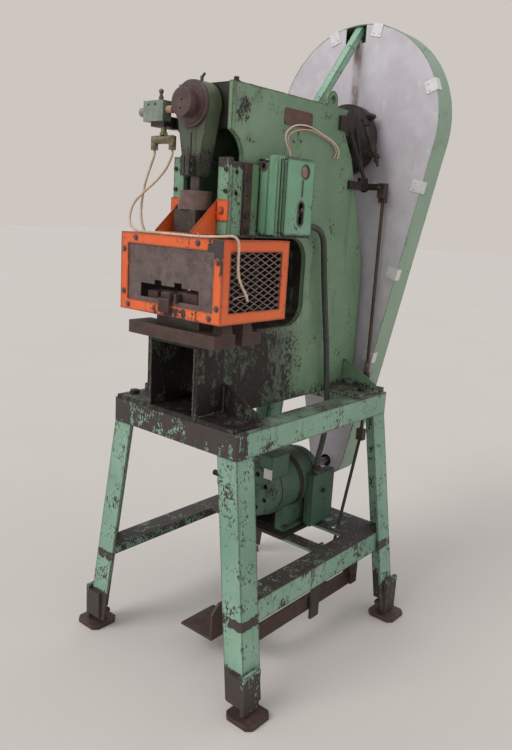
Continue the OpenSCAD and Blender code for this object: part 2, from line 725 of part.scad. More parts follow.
module terminal_box() {
    color("seagreen") difference() {
        union() {
            block([52, 150, rail_h + base_t + gap], [112, 262, terminal_top]);
            block([30, -14, motor_z + 50], [78, 66, motor_z + 118]);
            translate([conduit_end[0], conduit_end[1], terminal_top - 1]) cylinder(r = connector_r, h = 14);
        }
        rod_y([0, -40, motor_z], motor_r + gap, 340);
        block([40, 40, rail_h], [84, 264, motor_z - 40]);
        translate([conduit_end[0], conduit_end[1], terminal_top]) cylinder(r = conduit_r + 0.5, h = 20);
    }
}
module motor_rotor() {
    color("silver") rod_y([0, motor_y0 + 6, motor_z], 12 - fit, wheel_y + 28 - motor_y0);
    color("gray") rod_y([0, 40, motor_z], motor_r - 16, 150);
    color("darkslategray") translate([0, wheel_y, motor_z]) rotate([90, 0, 0]) rotate_extrude() difference() {
        translate([11, -16]) square([pulley_d / 2 - 11, 32]);
        polygon([[pulley_groove_r, -6], [pulley_groove_r, 6], [pulley_d / 2 + 1, 10], [pulley_d / 2 + 1, -10]]);
    }
}

// Flywheel guard: teardrop sheets, a rolled band, corner clips and a brace
module hood_outline(o) { polygon(teardrop(hood_z, hood_r + o, hood_low_z, hood_low_r + o)); }
notch_w = 70;
hood_hole_r = 70;
module hood_front() {
    color("gainsboro") plate_xz(hood_y, hood_y + sheet_t) difference() {
        hood_outline(-2.5);
        translate([-52, hood_z + hood_r - 52]) square([notch_w, 56]);
        translate([0, crank_z]) circle(hood_hole_r);
        translate([0, motor_z]) circle(20);
    }
}
module hood_shell() {
    color("mediumaquamarine") difference() {
        plate_xz(hood_y, hood_y + hood_d) hood_outline(0);
        plate_xz(hood_y - 1, hood_y + hood_d - sheet_t) hood_outline(-2.2);
    }
}
clip_angles = [110, 78, 21];
clip_drops = [181, 437, 701];
module clip() {
    // one leg on the sheet, the other on the band
    block([-34, -1.8, -17], [2, -gap / 2, 17]);
    block([gap / 2, -1.8, -17], [2, 22, 17]);
    for (z = [-9, 9]) rod_y([-24, -3.6, z], 2.5, 2);
}
module hood_clips() {
    color("silver") for (a = clip_angles)
        translate([0, hood_y, hood_z]) rotate([0, -a, 0]) translate([hood_r, 0, 0]) clip();
    a = asin((hood_r - hood_low_r) / (hood_z - hood_low_z));
    color("silver") for (d = clip_drops)
        translate([(hood_r - d * sin(a)) / cos(a), hood_y, hood_z - d]) rotate([0, a, 0]) clip();
}
brace_w = 24;
module hood_brace() {
    band_z = hood_z + sqrt((hood_r - 2.2) * (hood_r - 2.2) - brace_w * brace_w) - gap;
    low_z = stand_h - 44;
    color("mediumaquamarine") {
        plate_yz(-brace_w, 0) polygon([[172, top_z + gap], [196, top_z + gap],
            [hood_y + 26, band_z - 14], [hood_y + 6, band_z - 4]]);
        block([-brace_w, hood_y + 6, band_z - 16], [0, hood_y + 44, band_z]);
        // channel between the stand and the guard's lower half
        for (y = [stand_d / 2 + eps, hood_y - 6]) block([-40, y, low_z], [40, y + 6 - 2 * eps, low_z + 36]);
        block([-40, stand_d / 2 + eps, low_z + 30], [40, hood_y - eps, low_z + 36]);
    }
}

// Cage in front of the ram
cage_front_y = -367;
cage_back_y = -128;
cage_z0 = bolster_z + 29;
cage_z1 = cage_z0 + cage_h;
cage_x = cage_w / 2;
cage_t = 3;
module strip_ring(w, h) {
    difference() {
        square([w, h]);
        translate([strip_w, strip_w]) square([w - 2 * strip_w, h - 2 * strip_w]);
    }
}
module cage_frame() {
    color("orangered") {
        plate_xz(cage_front_y, cage_front_y + cage_t) translate([-cage_x, cage_z0]) strip_ring(cage_w, cage_h);
        mirrored() plate_yz(cage_x - cage_t, cage_x) translate([cage_front_y, cage_z0])
            strip_ring(cage_back_y - cage_front_y, cage_h);
        block([-cage_x, cage_front_y, cage_z1 - cage_t], [cage_x, cage_front_y + strip_w, cage_z1]);
        mirrored() block([cage_x - strip_w, cage_front_y, cage_z1 - cage_t], [cage_x, cage_back_y, cage_z1]);
    }
}
module cage_front() {
    color("rosybrown") plate_xz(cage_front_y + cage_t + eps, cage_front_y + cage_t + 2.5) difference() {
        translate([-cage_x + 8, cage_z0 + 4]) square([cage_w - 16, cage_h - 10]);
        translate([-102, cage_z0 + 38]) square([204, 34]);
        translate([-52, cage_z0 + 60]) square([26, 23]);
        translate([18, cage_z0 + 60]) square([26, 23]);
    }
}
mesh_bar = 1.6;
mesh_pitch_y = 33;
mesh_pitch_z = 16;
screen_lap = 6;
screen_t = 2;
// Staggered diamond holes, as in expanded metal
module diamonds(l, h) {
    a = mesh_pitch_y / 2 - mesh_bar * 1.6;
    b = mesh_pitch_z / 2 - mesh_bar;
    for (i = [0 : floor(2 * l / mesh_pitch_y)]) for (j = [0 : floor(h / mesh_pitch_z)])
        translate([i * mesh_pitch_y / 2, (j + (i % 2) / 2) * mesh_pitch_z])
            polygon([[-a, 0], [0, -b], [a, 0], [0, b]]);
}
module cage_screen() {
    l = cage_back_y - cage_front_y - 2 * strip_w + 2 * screen_lap;
    h = cage_h - 2 * strip_w + 2 * screen_lap;
    color("saddlebrown") plate_yz(cage_x - cage_t - screen_t, cage_x - cage_t - eps)
        translate([cage_front_y + strip_w - screen_lap, cage_z0 + strip_w - screen_lap]) difference() {
            square([l, h]);
            intersection() {
                translate([3, 3]) square([l - 6, h - 6]);
                diamonds(l, h);
            }
        }
}
module screen_right() { cage_screen(); }
module screen_left() { mirror([1, 0, 0]) cage_screen(); }
bracket_x = 60;
module cage_brackets() {
    keeper_front = wing_front - 12;
    color("orangered") mirrored() difference() {
        union() {
            plate_yz(bracket_x - 3, bracket_x) polygon([[keeper_front, cage_z1 + 90], [keeper_front, cage_z1 + eps],
                [cage_front_y + 8, cage_z1 + eps], [cage_front_y + 8, cage_z1 + 10]]);
            block([bracket_x - 3, keeper_front - 3.5, cage_z1 + 40], [out_x + 8, keeper_front - eps, cage_z1 + 90]);
            block([bracket_x - 3, cage_front_y + 8, cage_z1 + eps], [bracket_x + 12, keeper_front - 30, cage_z1 + 3]);
        }
        rod_y([out_x - 14, keeper_front - 5, cage_z1 + 64], 4, 8);
    }
    color("orangered") plate_xz(cage_front_y + 10, cage_front_y + 12.5)
        translate([-bracket_x + 3 + eps, cage_z1 + eps]) square([2 * (bracket_x - 3 - eps), 9]);
    color("gray") mirrored() {
        rod_y([out_x - 14, keeper_front - 8, cage_z1 + 64], 7, 4.4);
        rod_y([out_x - 14, keeper_front - 9, cage_z1 + 64], 3.8, 8.9);
    }
}

// Air blow-off valve beside the crank, with its tee and two hoses
valve_y = rod_front - gap - 4;
valve_x = -82;
valve_z = crank_z - 27;
module valve_bracket() {
    color("black") {
        block([valve_x - 44, valve_y - 12, valve_z - 12], [valve_x + 2, valve_y + 16, valve_z - gap]);
        block([valve_x - 44, valve_y + 14 + gap, valve_z - 12], [valve_x - 22, head_front + 20, valve_z + 16]);
        block([valve_x - 44, head_front + 8, valve_z - 12], [-out_x - eps, head_front + 20, valve_z + 16]);
    }
}
module valve_block() {
    color("cadetblue") difference() {
        block([valve_x - 70, valve_y - 14, valve_z], [valve_x, valve_y + 14, valve_z + 48]);
        rod_x([valve_x - 20, valve_y, valve_z + 27], 5.1, 21);
        for (x = [-52, -28]) rod_y([valve_x + x, valve_y - 15, valve_z + 39], 3, 10);
    }
    color("pink") rod_x([valve_x - 91, valve_y, valve_z + 24], 11, 21);
}
module valve_plunger() {
    color("tan") {
        rod_x([valve_x - 14, valve_y, valve_z + 27], 5, 19);
        rod_x([valve_x + 4, valve_y, valve_z + 27], 9, 18);
    }
}
tee_z = valve_z - 42;
tee_x = valve_x - 10;
module air_fittings() {
    color("silver") {
        translate([valve_x - 22, valve_y, valve_z + 48 + eps]) cylinder(r = 6, h = 10);
        translate([valve_x - 22, valve_y, valve_z + 57]) cylinder(r = 4, h = 14);
        translate([valve_x - 22, valve_y, valve_z + 70]) sphere(r = 6);
    }
    color("goldenrod") {
        translate([tee_x, valve_y, valve_z - 12 - 20]) cylinder(r = 7, h = 20 - eps);
        translate([tee_x, valve_y, valve_z - 12 - 20]) hex_head(10, 7);
        rod_x([tee_x - 34, valve_y, tee_z], 10, 68);
        for (s = [-1, 1]) {
            translate([tee_x + s * 32, valve_y, tee_z - 14]) cylinder(r = 9, h = 22);
            translate([tee_x + s * 32, valve_y, tee_z - 24]) hex_head(9, 12);
        }
    }
}
hose_r = 3.2;
hose_z = cage_z1 + hose_r + gap;
function hose_left_route() = [
    [-124, -310.3, 1362.7], [-124.5, -310.6, 1350], [-134, -314, 1322], [-146, -318, 1286], [-152, -322, 1248],
    [-150, -327, 1214], [-142, -331, 1188], [-130, -331, 1165], [-114, -329, 1135], [-96, -326, 1100],
    [-80, -324, 1070], [-66, -324, 1044]];
function hose_right_route() = [
    [-60, -310.3, 1362.7], [-60.5, -310.6, 1350], [-76, -315, 1318], [-104, -322, 1288], [-136, -330, 1262],
    [-160, -340, 1236], [-166, -348, 1210], [-156, -357, 1184], [-132, -362, 1170], [-104, -363, 1166.5],
    [-50, -363, 1166.5], [20, -363, 1166.5], [90, -363, 1166.5], [130, -358, 1168], [156, -348, 1170],
    [175, -337, 1172], [184, -329, 1164], [184, -324, 1146], [181, -321, 1120], [181, -318, 1085], [181, -305, 1060],
    [181, -288, 1038], [181, -282, 1024]];
module hose_left() { color("tan") swept(spline(hose_left_route(), 3), hose_r, 8); }
module hose_right() { color("tan") swept(spline(hose_right_route(), 2), hose_r, 8); }

// Starter box on the right side, its conduit and the two loose wires
box_y0 = -165;
box_y1 = -22;
box_z0 = base_z + 454;
box_z1 = base_z + 641;
box_x0 = out_x + 10;
box_x1 = out_x + 72;
box_mid = out_x + 36;
lever_y = -74;
lever_z = box_z0 + 60;
lever_x = box_x1 - 22;
button_y = -64;
button_z = box_z0 + 162;
module box_outline() { translate([(box_y0 + box_y1) / 2, (box_z0 + box_z1) / 2]) round_rect(box_y1 - box_y0, box_z1 - box_z0, 7); }
module switch_box() {
    color("mediumaquamarine") difference() {
        union() {
            difference() {
                plate_yz(box_x0, box_mid) box_outline();
                plate_yz(box_x0 + 3, box_mid + 1) translate([(box_y0 + box_y1) / 2, (box_z0 + box_z1) / 2])
                    round_rect(box_y1 - box_y0 - 6, box_z1 - box_z0 - 6, 5);
            }
            // standoffs to the frame
            for (z = [box_z0 + 30, box_z1 - 30]) rod_x([out_x + eps, -60, z], 9, box_x0 - out_x);
            rod_y([box_x0 + 14, box_y1 - 1, box_z0 + 30], connector_r, 15);
            // switch block with the lever's ears and pin, and the button's guide
            block([box_x0 + 2, lever_y - 18, lever_z - 16], [box_mid, lever_y + 18, lever_z + 16]);
            for (s = [-1, 1]) block([box_mid - 1, lever_y + s * 13 - 4, lever_z - 9], [lever_x + 7, lever_y + s * 13 + 4, lever_z + 9]);
            rod_y([lever_x, lever_y - 16, lever_z], 3, 32);
            block([box_x0 + 2, button_y - 11, button_z - 11], [box_x1 - 16, button_y + 11, button_z + 11]);
        }
        rod_x([box_mid - 6, button_y, button_z], 6 + fit, 40);
        rod_y([box_x0 + 14, box_y1 - 10, box_z0 + 30], conduit_r + 0.5, 30);
        for (p = [wire_upper_route()[0], wire_lower_route()[0]]) translate([p[0], p[1], box_z1 - 10]) cylinder(r = wire_r + 0.25, h = 20);
    }
}
cover_h = box_z1 - box_z0 + 8;           // the cover stands a little over the box
button_r = 15;
module cover_rect(less_w, less_h, shift, r) {
    translate([(box_y0 + box_y1) / 2 + shift, box_z0 + cover_h / 2])
        round_rect(box_y1 - box_y0 - less_w, cover_h - less_h, r);
}
module switch_cover() {
    color("mediumaquamarine") difference() {
        union() {
            plate_yz(box_mid + gap, box_x1 - 8) cover_rect(0, 0, 0, 7);
            plate_yz(box_x1 - 9, box_x1) cover_rect(26, 12, 10, 9);
        }
        plate_yz(box_mid, box_x1 - 4) cover_rect(36, 22, 12, 5);
        rod_x([box_x1 - 12, button_y, button_z], button_r + 1.5, 20);
        plate_yz(box_x1 - 12, box_x1 + 1) for (s = [-1, 1]) translate([lever_y, lever_z + s * 18]) circle(11);
        block([box_x1 - 12, lever_y - 11, lever_z - 18], [box_x1 + 1, lever_y + 11, lever_z + 18]);
        block([box_x1 - 2, lever_y - 2, lever_z + 42], [box_x1 + 1, lever_y + 4, lever_z + 82]);
        for (y = [box_y0 + 12, box_y0 + 19, box_y0 + 26])
            block([box_x1 - 11.5, y - 1.5, box_z0 + 8], [box_x1 + 1, y + 1.5, box_z0 + cover_h - 8]);
    }
}
module switch_lever() {
    // a rocker on a cross pin behind the oval opening
    color("brown") {
        difference() {
            rod_y([lever_x, lever_y - 8, lever_z], 8, 16);
            rod_y([lever_x, lever_y - 9, lever_z], 3 + fit, 18);
        }
        translate([lever_x, lever_y, lever_z]) rotate([0, 90 - 20, 0]) translate([0, 0, 5.5]) cylinder(r = 5, h = 24);
    }
}
module reset_button() {
    color("rosybrown") {
        rod_x([box_x1 - 26, button_y, button_z], 6, 20);
        rod_x([box_x1 - 10, button_y, button_z], button_r, 7);
    }
}
conduit_r = 8.5;
conduit_end = [101, 178, 459.3];
function conduit_route() = [
    [114, -24, 1200], [114, -6, 1200], [114, 40, 1199], [112, 82, 1190], [110, 108, 1164], [110, 117, 1120],
    [110, 126, 1060], [110, 145, 960], [110, 163, 869], [111, 175, 780], [113, 181, 720], [114, 186, 650],
    [113, 188, 600], [108, 184, 550], [103, 180, 515], [101, 178, 492], [101, 178, 474], conduit_end];
module conduit() { color("dimgray") swept(spline(conduit_route(), 2), conduit_r, 10); }
wire_r = 1.7;
function wire_upper_route() = [
    [118, -74, 1354], [118, -74, 1364], [118, -78, 1380], [117, -94, 1402], [115.5, -92, 1424], [112, -62, 1443],
    [109, -18, 1451], [106, 25, 1450], [103, 75, 1440], [101, 119, 1431], [99, 150, 1420], [97, 168, 1406],
    [95, 171, 1393], [91, 169, 1386], [84, 169, 1386]];
function wire_lower_route() = [
    [115, -67, 1354], [115, -67, 1364], [115, -70, 1382], [114, -82, 1404], [112, -75, 1420], [109, -49, 1433],
    [106, -11, 1441], [103, 33, 1443], [100, 83, 1435], [98, 124, 1426], [96.5, 148, 1415], [96, 157, 1403],
    [94.5, 156, 1392], [91, 151, 1386], [84, 151, 1386]];
module wire_upper() { color("mistyrose") swept(spline(wire_upper_route(), 2), wire_r, 8); }
module wire_lower() { color("lightsalmon") swept(spline(wire_lower_route(), 2), wire_r, 8); }

// Treadle, trip rod and trip lever
arm_x = 180;
pivot_y = 300;
pivot_z = 98;
pin_y = pivot_y - treadle_arm;
pivot_r = 8;
module treadle() {
    color("dimgray") difference() {
        union() {
            block([arm_x - 8, -168, 75], [arm_x + 4, pivot_y + 22, 121]);
            block([84, -168, 75], [arm_x + 4, -154, 121]);
            block([-28, -252, 74], [84, -120, 80]);
            plate_yz(84 - eps, 91) polygon([[-252, 74], [-252, 150], [-226, 176], [-154, 176], [-154, 74]]);
            rod_x([arm_x - 34, pin_y, pivot_z], 6, 30);
        }
        rod_x([arm_x - 20, pivot_y, pivot_z], pivot_r + fit, 40);
    }
}
module treadle_hanger() {
    color("dimgray") {
        for (x = [arm_x - 18, arm_x + 8]) difference() {
            block([x, pivot_y - 16, pivot_z - 18], [x + 8, pivot_y + 16, rail_h - cross_t - eps]);
            rod_x([x - 1, pivot_y, pivot_z], pivot_r, 10);
        }
        rod_x([arm_x - 22, pivot_y, pivot_z], pivot_r - eps, 42);
    }
}
trip_rod_r = 5;
lever_a = [86, base_z + 604];             // fulcrum of the trip lever, X and Z
lever_b = [rod_x0, base_z + 604];         // pin of the trip rod
lever_y0 = 330;
module trip_rod() {
    color("saddlebrown") {
        translate([rod_x0, guide_y, 560]) cylinder(r = trip_rod_r, h = lever_b[1] - 24 - 560);
        // eye at the lever
        difference() {
            block([rod_x0 - 11, lever_y0 + 7, lever_b[1] - 44], [rod_x0 + 11, guide_y + 6, lever_b[1] + 12]);
            block([rod_x0 - 12, lever_y0 + 6, lever_b[1] - 45], [rod_x0 + 12, guide_y - 9, lever_b[1] - 30]);
        }
        rod_y([rod_x0, lever_y0 - 4, lever_b[1]], 5, 14);
        // collar that seats on the return spring, and the clevis at the lower link
        translate([rod_x0, guide_y, spring_top]) cylinder(r = 11, h = 24);
        block([rod_x0 - 12, guide_y - 11, 540], [rod_x0 + 12, guide_y + 9, 576]);
        // lower link to the treadle
        low = [arm_x - 26, pin_y, pivot_z];
        high = [rod_x0, guide_y - 4, 548];
        v = high - low;
        difference() {
            union() {
                translate(low) rotate([0, 0, atan2(v[1], v[0])]) rotate([0, atan2(norm([v[0], v[1]]), v[2]), 0])
                    translate([0, 0, 9]) cylinder(r = 5, h = norm(v) - 10);
                rod_x([low[0] - 5, low[1], low[2]], 14, 10);
            }
            rod_x([low[0] - 6, low[1], low[2]], 6 + 2.2, 12);
        }
    }
}
spring_low = guide_z + 7;
spring_top = spring_low + 58;
module return_spring() {
    turns = 7;
    n = turns * 12;
    wire = 1.3;
    color("silver") swept([for (i = [0 : n]) [rod_x0 + 8.2 * cos(360 * i / 12), guide_y + 8.2 * sin(360 * i / 12),
        spring_low + wire + gap + (spring_top - spring_low - 2 * wire - 2 * gap) * i / n]], wire, 6);
}
module trip_lever() {
    color("dimgray") difference() {
        union() {
            plate_xz(lever_y0, lever_y0 + 6) {
                polygon([[36, lever_a[1] - 9], [36, lever_a[1] + 9], [lever_b[0] + 16, lever_b[1] + 10],
                    [lever_b[0] + 16, lever_b[1] - 10]]);
                translate(lever_a) circle(16);
            }
            // tongue that drops out of the clutch collar's notch
            block([30, lever_y0 - 20, lever_a[1] - 8], [46, lever_y0 + 5, lever_a[1] + 8]);
            block([31, lever_y0 - 20, lever_a[1] + 6], [40, lever_y0 - 12, crank_z - 44]);
        }
        rod_y([lever_a[0], lever_y0 - 1, lever_a[1]], 7 + fit, 10);
        rod_y([lever_b[0], lever_y0 - 1, lever_b[1]], 5 + 1.8, 10);
    }
}
// A round bar from point a to point b
module bar(a, b, r) {
    v = b - a;
    translate(a) rotate([0, 0, atan2(v[1], v[0])]) rotate([0, atan2(norm([v[0], v[1]]), v[2]), 0])
        cylinder(r = r, h = norm(v));
}
module trip_stay() {
    // an arm on the right side plate carries the lever's pin
    stay_y = 284;
    side_x = out_x + 7;
    foot = [side_x, lever_y0 - 14, lever_a[1] + 16];
    color("dimgray") {
        block([out_x + eps, 236, lever_a[1] - 12], [out_x + 9, stay_y + 14, lever_a[1] + 12]);
        block([lever_a[0] - 12, stay_y, lever_a[1] - 12], [out_x + 9, stay_y + 14, lever_a[1] + 12]);
        rod_y([lever_a[0], stay_y + 1, lever_a[1]], 7, lever_y0 + 13 - stay_y);
        rod_y([lever_a[0], lever_y0 + 6 + gap, lever_a[1]], 10, 5);
        // two struts from a gusset near the top of the plate steady the arm
        block([out_x + 2, stay_y, lever_a[1] - 12], [out_x + 12, lever_y0 - 4, lever_a[1] + 24]);
        plate_yz(out_x + eps, out_x + 9)
            polygon([[168, top_z - 58], [168, top_z - 20], [250, top_z - 12], [250, top_z - 38], [206, top_z - 58]]);
        bar([side_x, 205, top_z - 44], foot, 5.5);
        bar([side_x, 240, top_z - 31], foot + [0, -6, 0], 5);
    }
}

place() stand_top();
place() stand_legs();
place() lower_rails();
place() foot_pads();
place() foot_studs();
place() press_frame();
place() hold_down_bolts();
place() bolster_plate();
place() die_clamps();
place() lower_die();
place() gib_blocks();
place() gib_keepers();
place() gib_bars();
place() gib_bolts();
place() shaft_bushes();
place() switch_box();
place() switch_cover();
place() switch_lever();
place() reset_button();
place() conduit();
place() wire_upper();
place() wire_lower();
place() valve_bracket();
place() valve_block();
place() valve_plunger();
place() air_fittings();
place() hose_left();
place() hose_right();
place() cage_frame();
place() cage_front();
place() screen_left();
place() screen_right();
place() cage_brackets();
place() hood_front();
place() hood_shell();
place() hood_clips();
place() hood_brace();
place() drive_belt();
place() motor_shell();
place() motor_bells();
place() motor_base();
place() terminal_box();
place() motor_rotor();
place() flywheel();
place() crankshaft();
place() crank_cap();
place() brake_drum();
place() brake_band();
place() connecting_rod();
place() clamp_bolts();
place() adjusting_screw();
place() ram();
place() lock_ring();
place() upper_die();
place() treadle();
place() treadle_hanger();
place() trip_rod();
place() trip_lever();
place() trip_stay();
place() return_spring();
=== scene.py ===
import math

import bpy
from mathutils import Matrix, Vector


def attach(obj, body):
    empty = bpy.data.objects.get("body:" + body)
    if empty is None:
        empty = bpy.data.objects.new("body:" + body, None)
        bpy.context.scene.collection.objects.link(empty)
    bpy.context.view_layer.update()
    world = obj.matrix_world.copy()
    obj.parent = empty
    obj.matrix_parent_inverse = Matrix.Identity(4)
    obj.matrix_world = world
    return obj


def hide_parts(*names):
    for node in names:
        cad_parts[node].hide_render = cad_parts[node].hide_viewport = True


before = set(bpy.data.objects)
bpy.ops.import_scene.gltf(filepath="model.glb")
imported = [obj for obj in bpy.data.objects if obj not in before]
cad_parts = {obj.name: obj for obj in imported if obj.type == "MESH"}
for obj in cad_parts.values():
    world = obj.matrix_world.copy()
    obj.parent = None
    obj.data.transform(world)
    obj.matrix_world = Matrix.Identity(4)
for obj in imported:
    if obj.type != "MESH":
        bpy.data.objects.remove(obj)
bpy.ops.object.select_all(action="DESELECT")
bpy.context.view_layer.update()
print("frame loaded")

# Places are given in millimetres from the middle of the stand, as the part's source gives them
originShift = 39.0


def at(x, y, z):
    return Vector((x, y - originShift, z)) / 1000


# The camera stands where the photograph was taken
camera = {"place": (1264.5, -1539.3, 1226.1), "pitch": 12.822, "roll": 3.345, "turn": 39.707, "lens": 34.11,
          "sensor": 36, "reach": 60}


def addCamera():
    turn, pitch, roll = (math.radians(camera[k]) for k in ("turn", "pitch", "roll"))
    forward = Vector((-math.sin(turn) * math.cos(pitch), math.cos(turn) * math.cos(pitch), -math.sin(pitch)))
    right = Vector((math.cos(turn), math.sin(turn), 0))
    up = right.cross(forward)
    across = math.cos(roll) * right + math.sin(roll) * up
    upright = -math.sin(roll) * right + math.cos(roll) * up
    data = bpy.data.cameras.new("camera")
    data.sensor_fit = "VERTICAL"
    data.sensor_width = camera["sensor"]
    data.sensor_height = camera["sensor"]
    data.lens = camera["lens"]
    data.clip_end = camera["reach"]
    eye = bpy.data.objects.new("camera", data)
    eye.matrix_world = Matrix((across, upright, -forward)).transposed().to_4x4()
    eye.location = at(*camera["place"])
    bpy.context.scene.collection.objects.link(eye)
    bpy.context.scene.camera = eye


addCamera()
print("camera placed")


# Shader maths: a socket with operators, and a material that makes nodes
class Wire:
    def __init__(self, shader, socket):
        self.shader = shader
        self.socket = socket

    def __add__(self, other):
        return self.shader.maths("ADD", self, other)

    def __radd__(self, other):
        return self.shader.maths("ADD", other, self)

    def __sub__(self, other):
        return self.shader.maths("SUBTRACT", self, other)

    def __rsub__(self, other):
        return self.shader.maths("SUBTRACT", other, self)

    def __mul__(self, other):
        return self.shader.maths("MULTIPLY", self, other)

    def __rmul__(self, other):
        return self.shader.maths("MULTIPLY", other, self)


class Shader:
    def __init__(self, name):
        self.material = bpy.data.materials.new(name)
        self.material.use_nodes = True
        self.tree = self.material.node_tree
        self.surface = self.tree.nodes["Principled BSDF"]
        place = self.tree.nodes.new("ShaderNodeTexCoord")
        self.place = Wire(self, place.outputs["Object"])
        parts = self.node("ShaderNodeSeparateXYZ", {}, Vector=self.place)
        self.x, self.y, self.z = (Wire(self, parts.outputs[k]) for k in "XYZ")
        normal = self.node("ShaderNodeNewGeometry", {})
        self.normal = Wire(self, normal.outputs["Normal"])
        turned = self.node("ShaderNodeSeparateXYZ", {}, Vector=self.normal)
        self.facingUp = Wire(self, turned.outputs["Z"])

    def node(self, kind, settings, **values):
        made = self.tree.nodes.new(kind)
        for key, value in settings.items():
            setattr(made, key, value)
        for key, value in values.items():
            socket = made.inputs[int(key[1:])] if key[0] == "_" else made.inputs[key]
            if isinstance(value, Wire):
                self.tree.links.new(value.socket, socket)
            else:
                socket.default_value = value
        return made

    def maths(self, operation, *values):
        sockets = {f"_{index}": value for index, value in enumerate(values)}
        return Wire(self, self.node("ShaderNodeMath", {"operation": operation}, **sockets).outputs[0])

    def step(self, value, low, high):
        made = self.node("ShaderNodeMapRange", {"interpolation_type": "SMOOTHSTEP"},
                         **{"Value": value, "From Min": low, "From Max": high})
        return Wire(self, made.outputs["Result"])

    def near(self, value, middle, reach):
        away = self.maths("ABSOLUTE", value - middle)
        return 1 - self.step(away, reach * 0.35, reach)

    def noise(self, scale, detail, rough, stretch=(1, 1, 1)):
        spot = self.node("ShaderNodeMapping", {}, Vector=self.place, Scale=stretch)
        made = self.node("ShaderNodeTexNoise", {}, Vector=Wire(self, spot.outputs[0]), Scale=scale,
                         Detail=detail, Roughness=rough)
        return Wire(self, made.outputs["Fac"])

    def blendColours(self, amount, first, second):
        made = self.node("ShaderNodeMix", {"data_type": "RGBA"}, _0=amount, _6=first, _7=second)
        return Wire(self, made.outputs[2])

    def edges(self, radius):
        bevel = self.node("ShaderNodeBevel", {"samples": 4}, Radius=radius)
        dot = self.node("ShaderNodeVectorMath", {"operation": "DOT_PRODUCT"},
                        _0=Wire(self, bevel.outputs[0]), _1=self.normal)
        return 1 - Wire(self, dot.outputs["Value"])

    def bump(self, height, strength, distance, softEdge=0.0012):
        rounded = self.node("ShaderNodeBevel", {"samples": 4}, Radius=softEdge)
        made = self.node("ShaderNodeBump", {}, Height=height, Strength=strength, Distance=distance,
                         Normal=Wire(self, rounded.outputs[0]))
        self.tree.links.new(made.outputs[0], self.surface.inputs["Normal"])

    def put(self, **values):
        names = {"colour": "Base Color", "rough": "Roughness", "metal": "Metallic", "coat": "Coat Weight"}
        for key, value in values.items():
            socket = self.surface.inputs[names[key]]
            if isinstance(value, Wire):
                self.tree.links.new(value.socket, socket)
            else:
                socket.default_value = value
        return self.material


def ink(red, green, blue):
    # A colour as the eye sees it, 0 to 255, made linear
    def linear(value):
        value = value / 255
        return value / 12.92 if value <= 0.04045 else ((value + 0.055) / 1.055) ** 2.4
    return (linear(red), linear(green), linear(blue), 1)


rustBrown = ink(82, 56, 47)
# Near-black for oil, runs and undercoat, and also used as painted shade between the frame plates
oilAndShadeBlack = ink(34, 28, 25)
primerBrown = ink(56, 43, 39)
bareGrey = ink(104, 94, 92)
dustBrown = ink(92, 76, 68)


def wornPaint(name, paint, pale, flecks, wear, grime, runs, bare, oilAndShade, dust):
    # Enamel with sharp flecks chipped down to dark primer, worn edges, grease film, runs and dusty tops; the grease
    # film also carries painted shade where a mask asks for it
    s = Shader(name)
    cloud = s.noise(3.4, 3, 0.6)
    patch = s.noise(13, 5, 0.66)
    fleck = s.noise(1.0, 5, 0.72, (170, 170, 96))
    grain = s.noise(420, 3, 0.6)
    streak = s.noise(1.0, 5, 0.62, (36, 36, 3.2))
    edge = s.step(s.edges(0.009), 0.01, 0.24)
    stripped = 0.0
    for where in bare:
        stripped = s.maths("MAXIMUM", stripped, where(s))
    greaseAndShade = s.step(cloud * 0.5 + patch * 0.5, 0.62 - grime * 0.2, 0.78 - grime * 0.1)
    # These masks pull the paint towards near black: oil on the jaw, and painted shade between the frame plates
    for where in oilAndShade:
        greaseAndShade = s.maths("MAXIMUM", greaseAndShade, where(s) * s.step(patch * 0.5 + streak * 0.5, 0.30, 0.48))
    run = s.step(streak, 0.56, 0.68) * s.step(cloud, 0.40, 0.60)
    upward = s.step(s.facingUp, 0.6, 0.95)
    left = s.step(patch * 0.5 + streak * 0.25 + cloud * 0.25, 0.485, 0.535)
    field = (fleck + (patch - 0.5) * 0.85 + edge * wear * 0.34 + stripped * (0.40 - left * 0.30)
             + upward * dust * 0.05)
    limit = 0.735 - flecks * 0.13
    chip = s.step(field, limit, limit + 0.018)
    core = s.step(field, limit + 0.09, limit + 0.15)
    colour = s.blendColours(s.step(cloud * 0.55 + grain * 0.25 + patch * 0.2, 0.36, 0.64), paint, pale)
    colour = s.blendColours(s.maths("MINIMUM", greaseAndShade * 0.66, 0.97), colour, oilAndShadeBlack)
    colour = s.blendColours(run * runs, colour, oilAndShadeBlack)
    colour = s.blendColours(upward * dust * s.step(patch, 0.30, 0.60), colour, dustBrown)
    under = s.blendColours(s.step(patch * 0.6 + grain * 0.4, 0.42, 0.60), oilAndShadeBlack, primerBrown)
    under = s.blendColours(greaseAndShade * 0.75, under, oilAndShadeBlack)
    under = s.blendColours(core * 0.4 * (1 - greaseAndShade), under, bareGrey)
    colour = s.blendColours(chip, colour, under)
    s.bump(fleck * 0.15 - chip * 0.9 + grain * 0.06, 0.4, 0.0008)
    return s.put(colour=colour, rough=0.36 + patch * 0.2 + chip * 0.22 - greaseAndShade * 0.1, metal=core * 0.35)


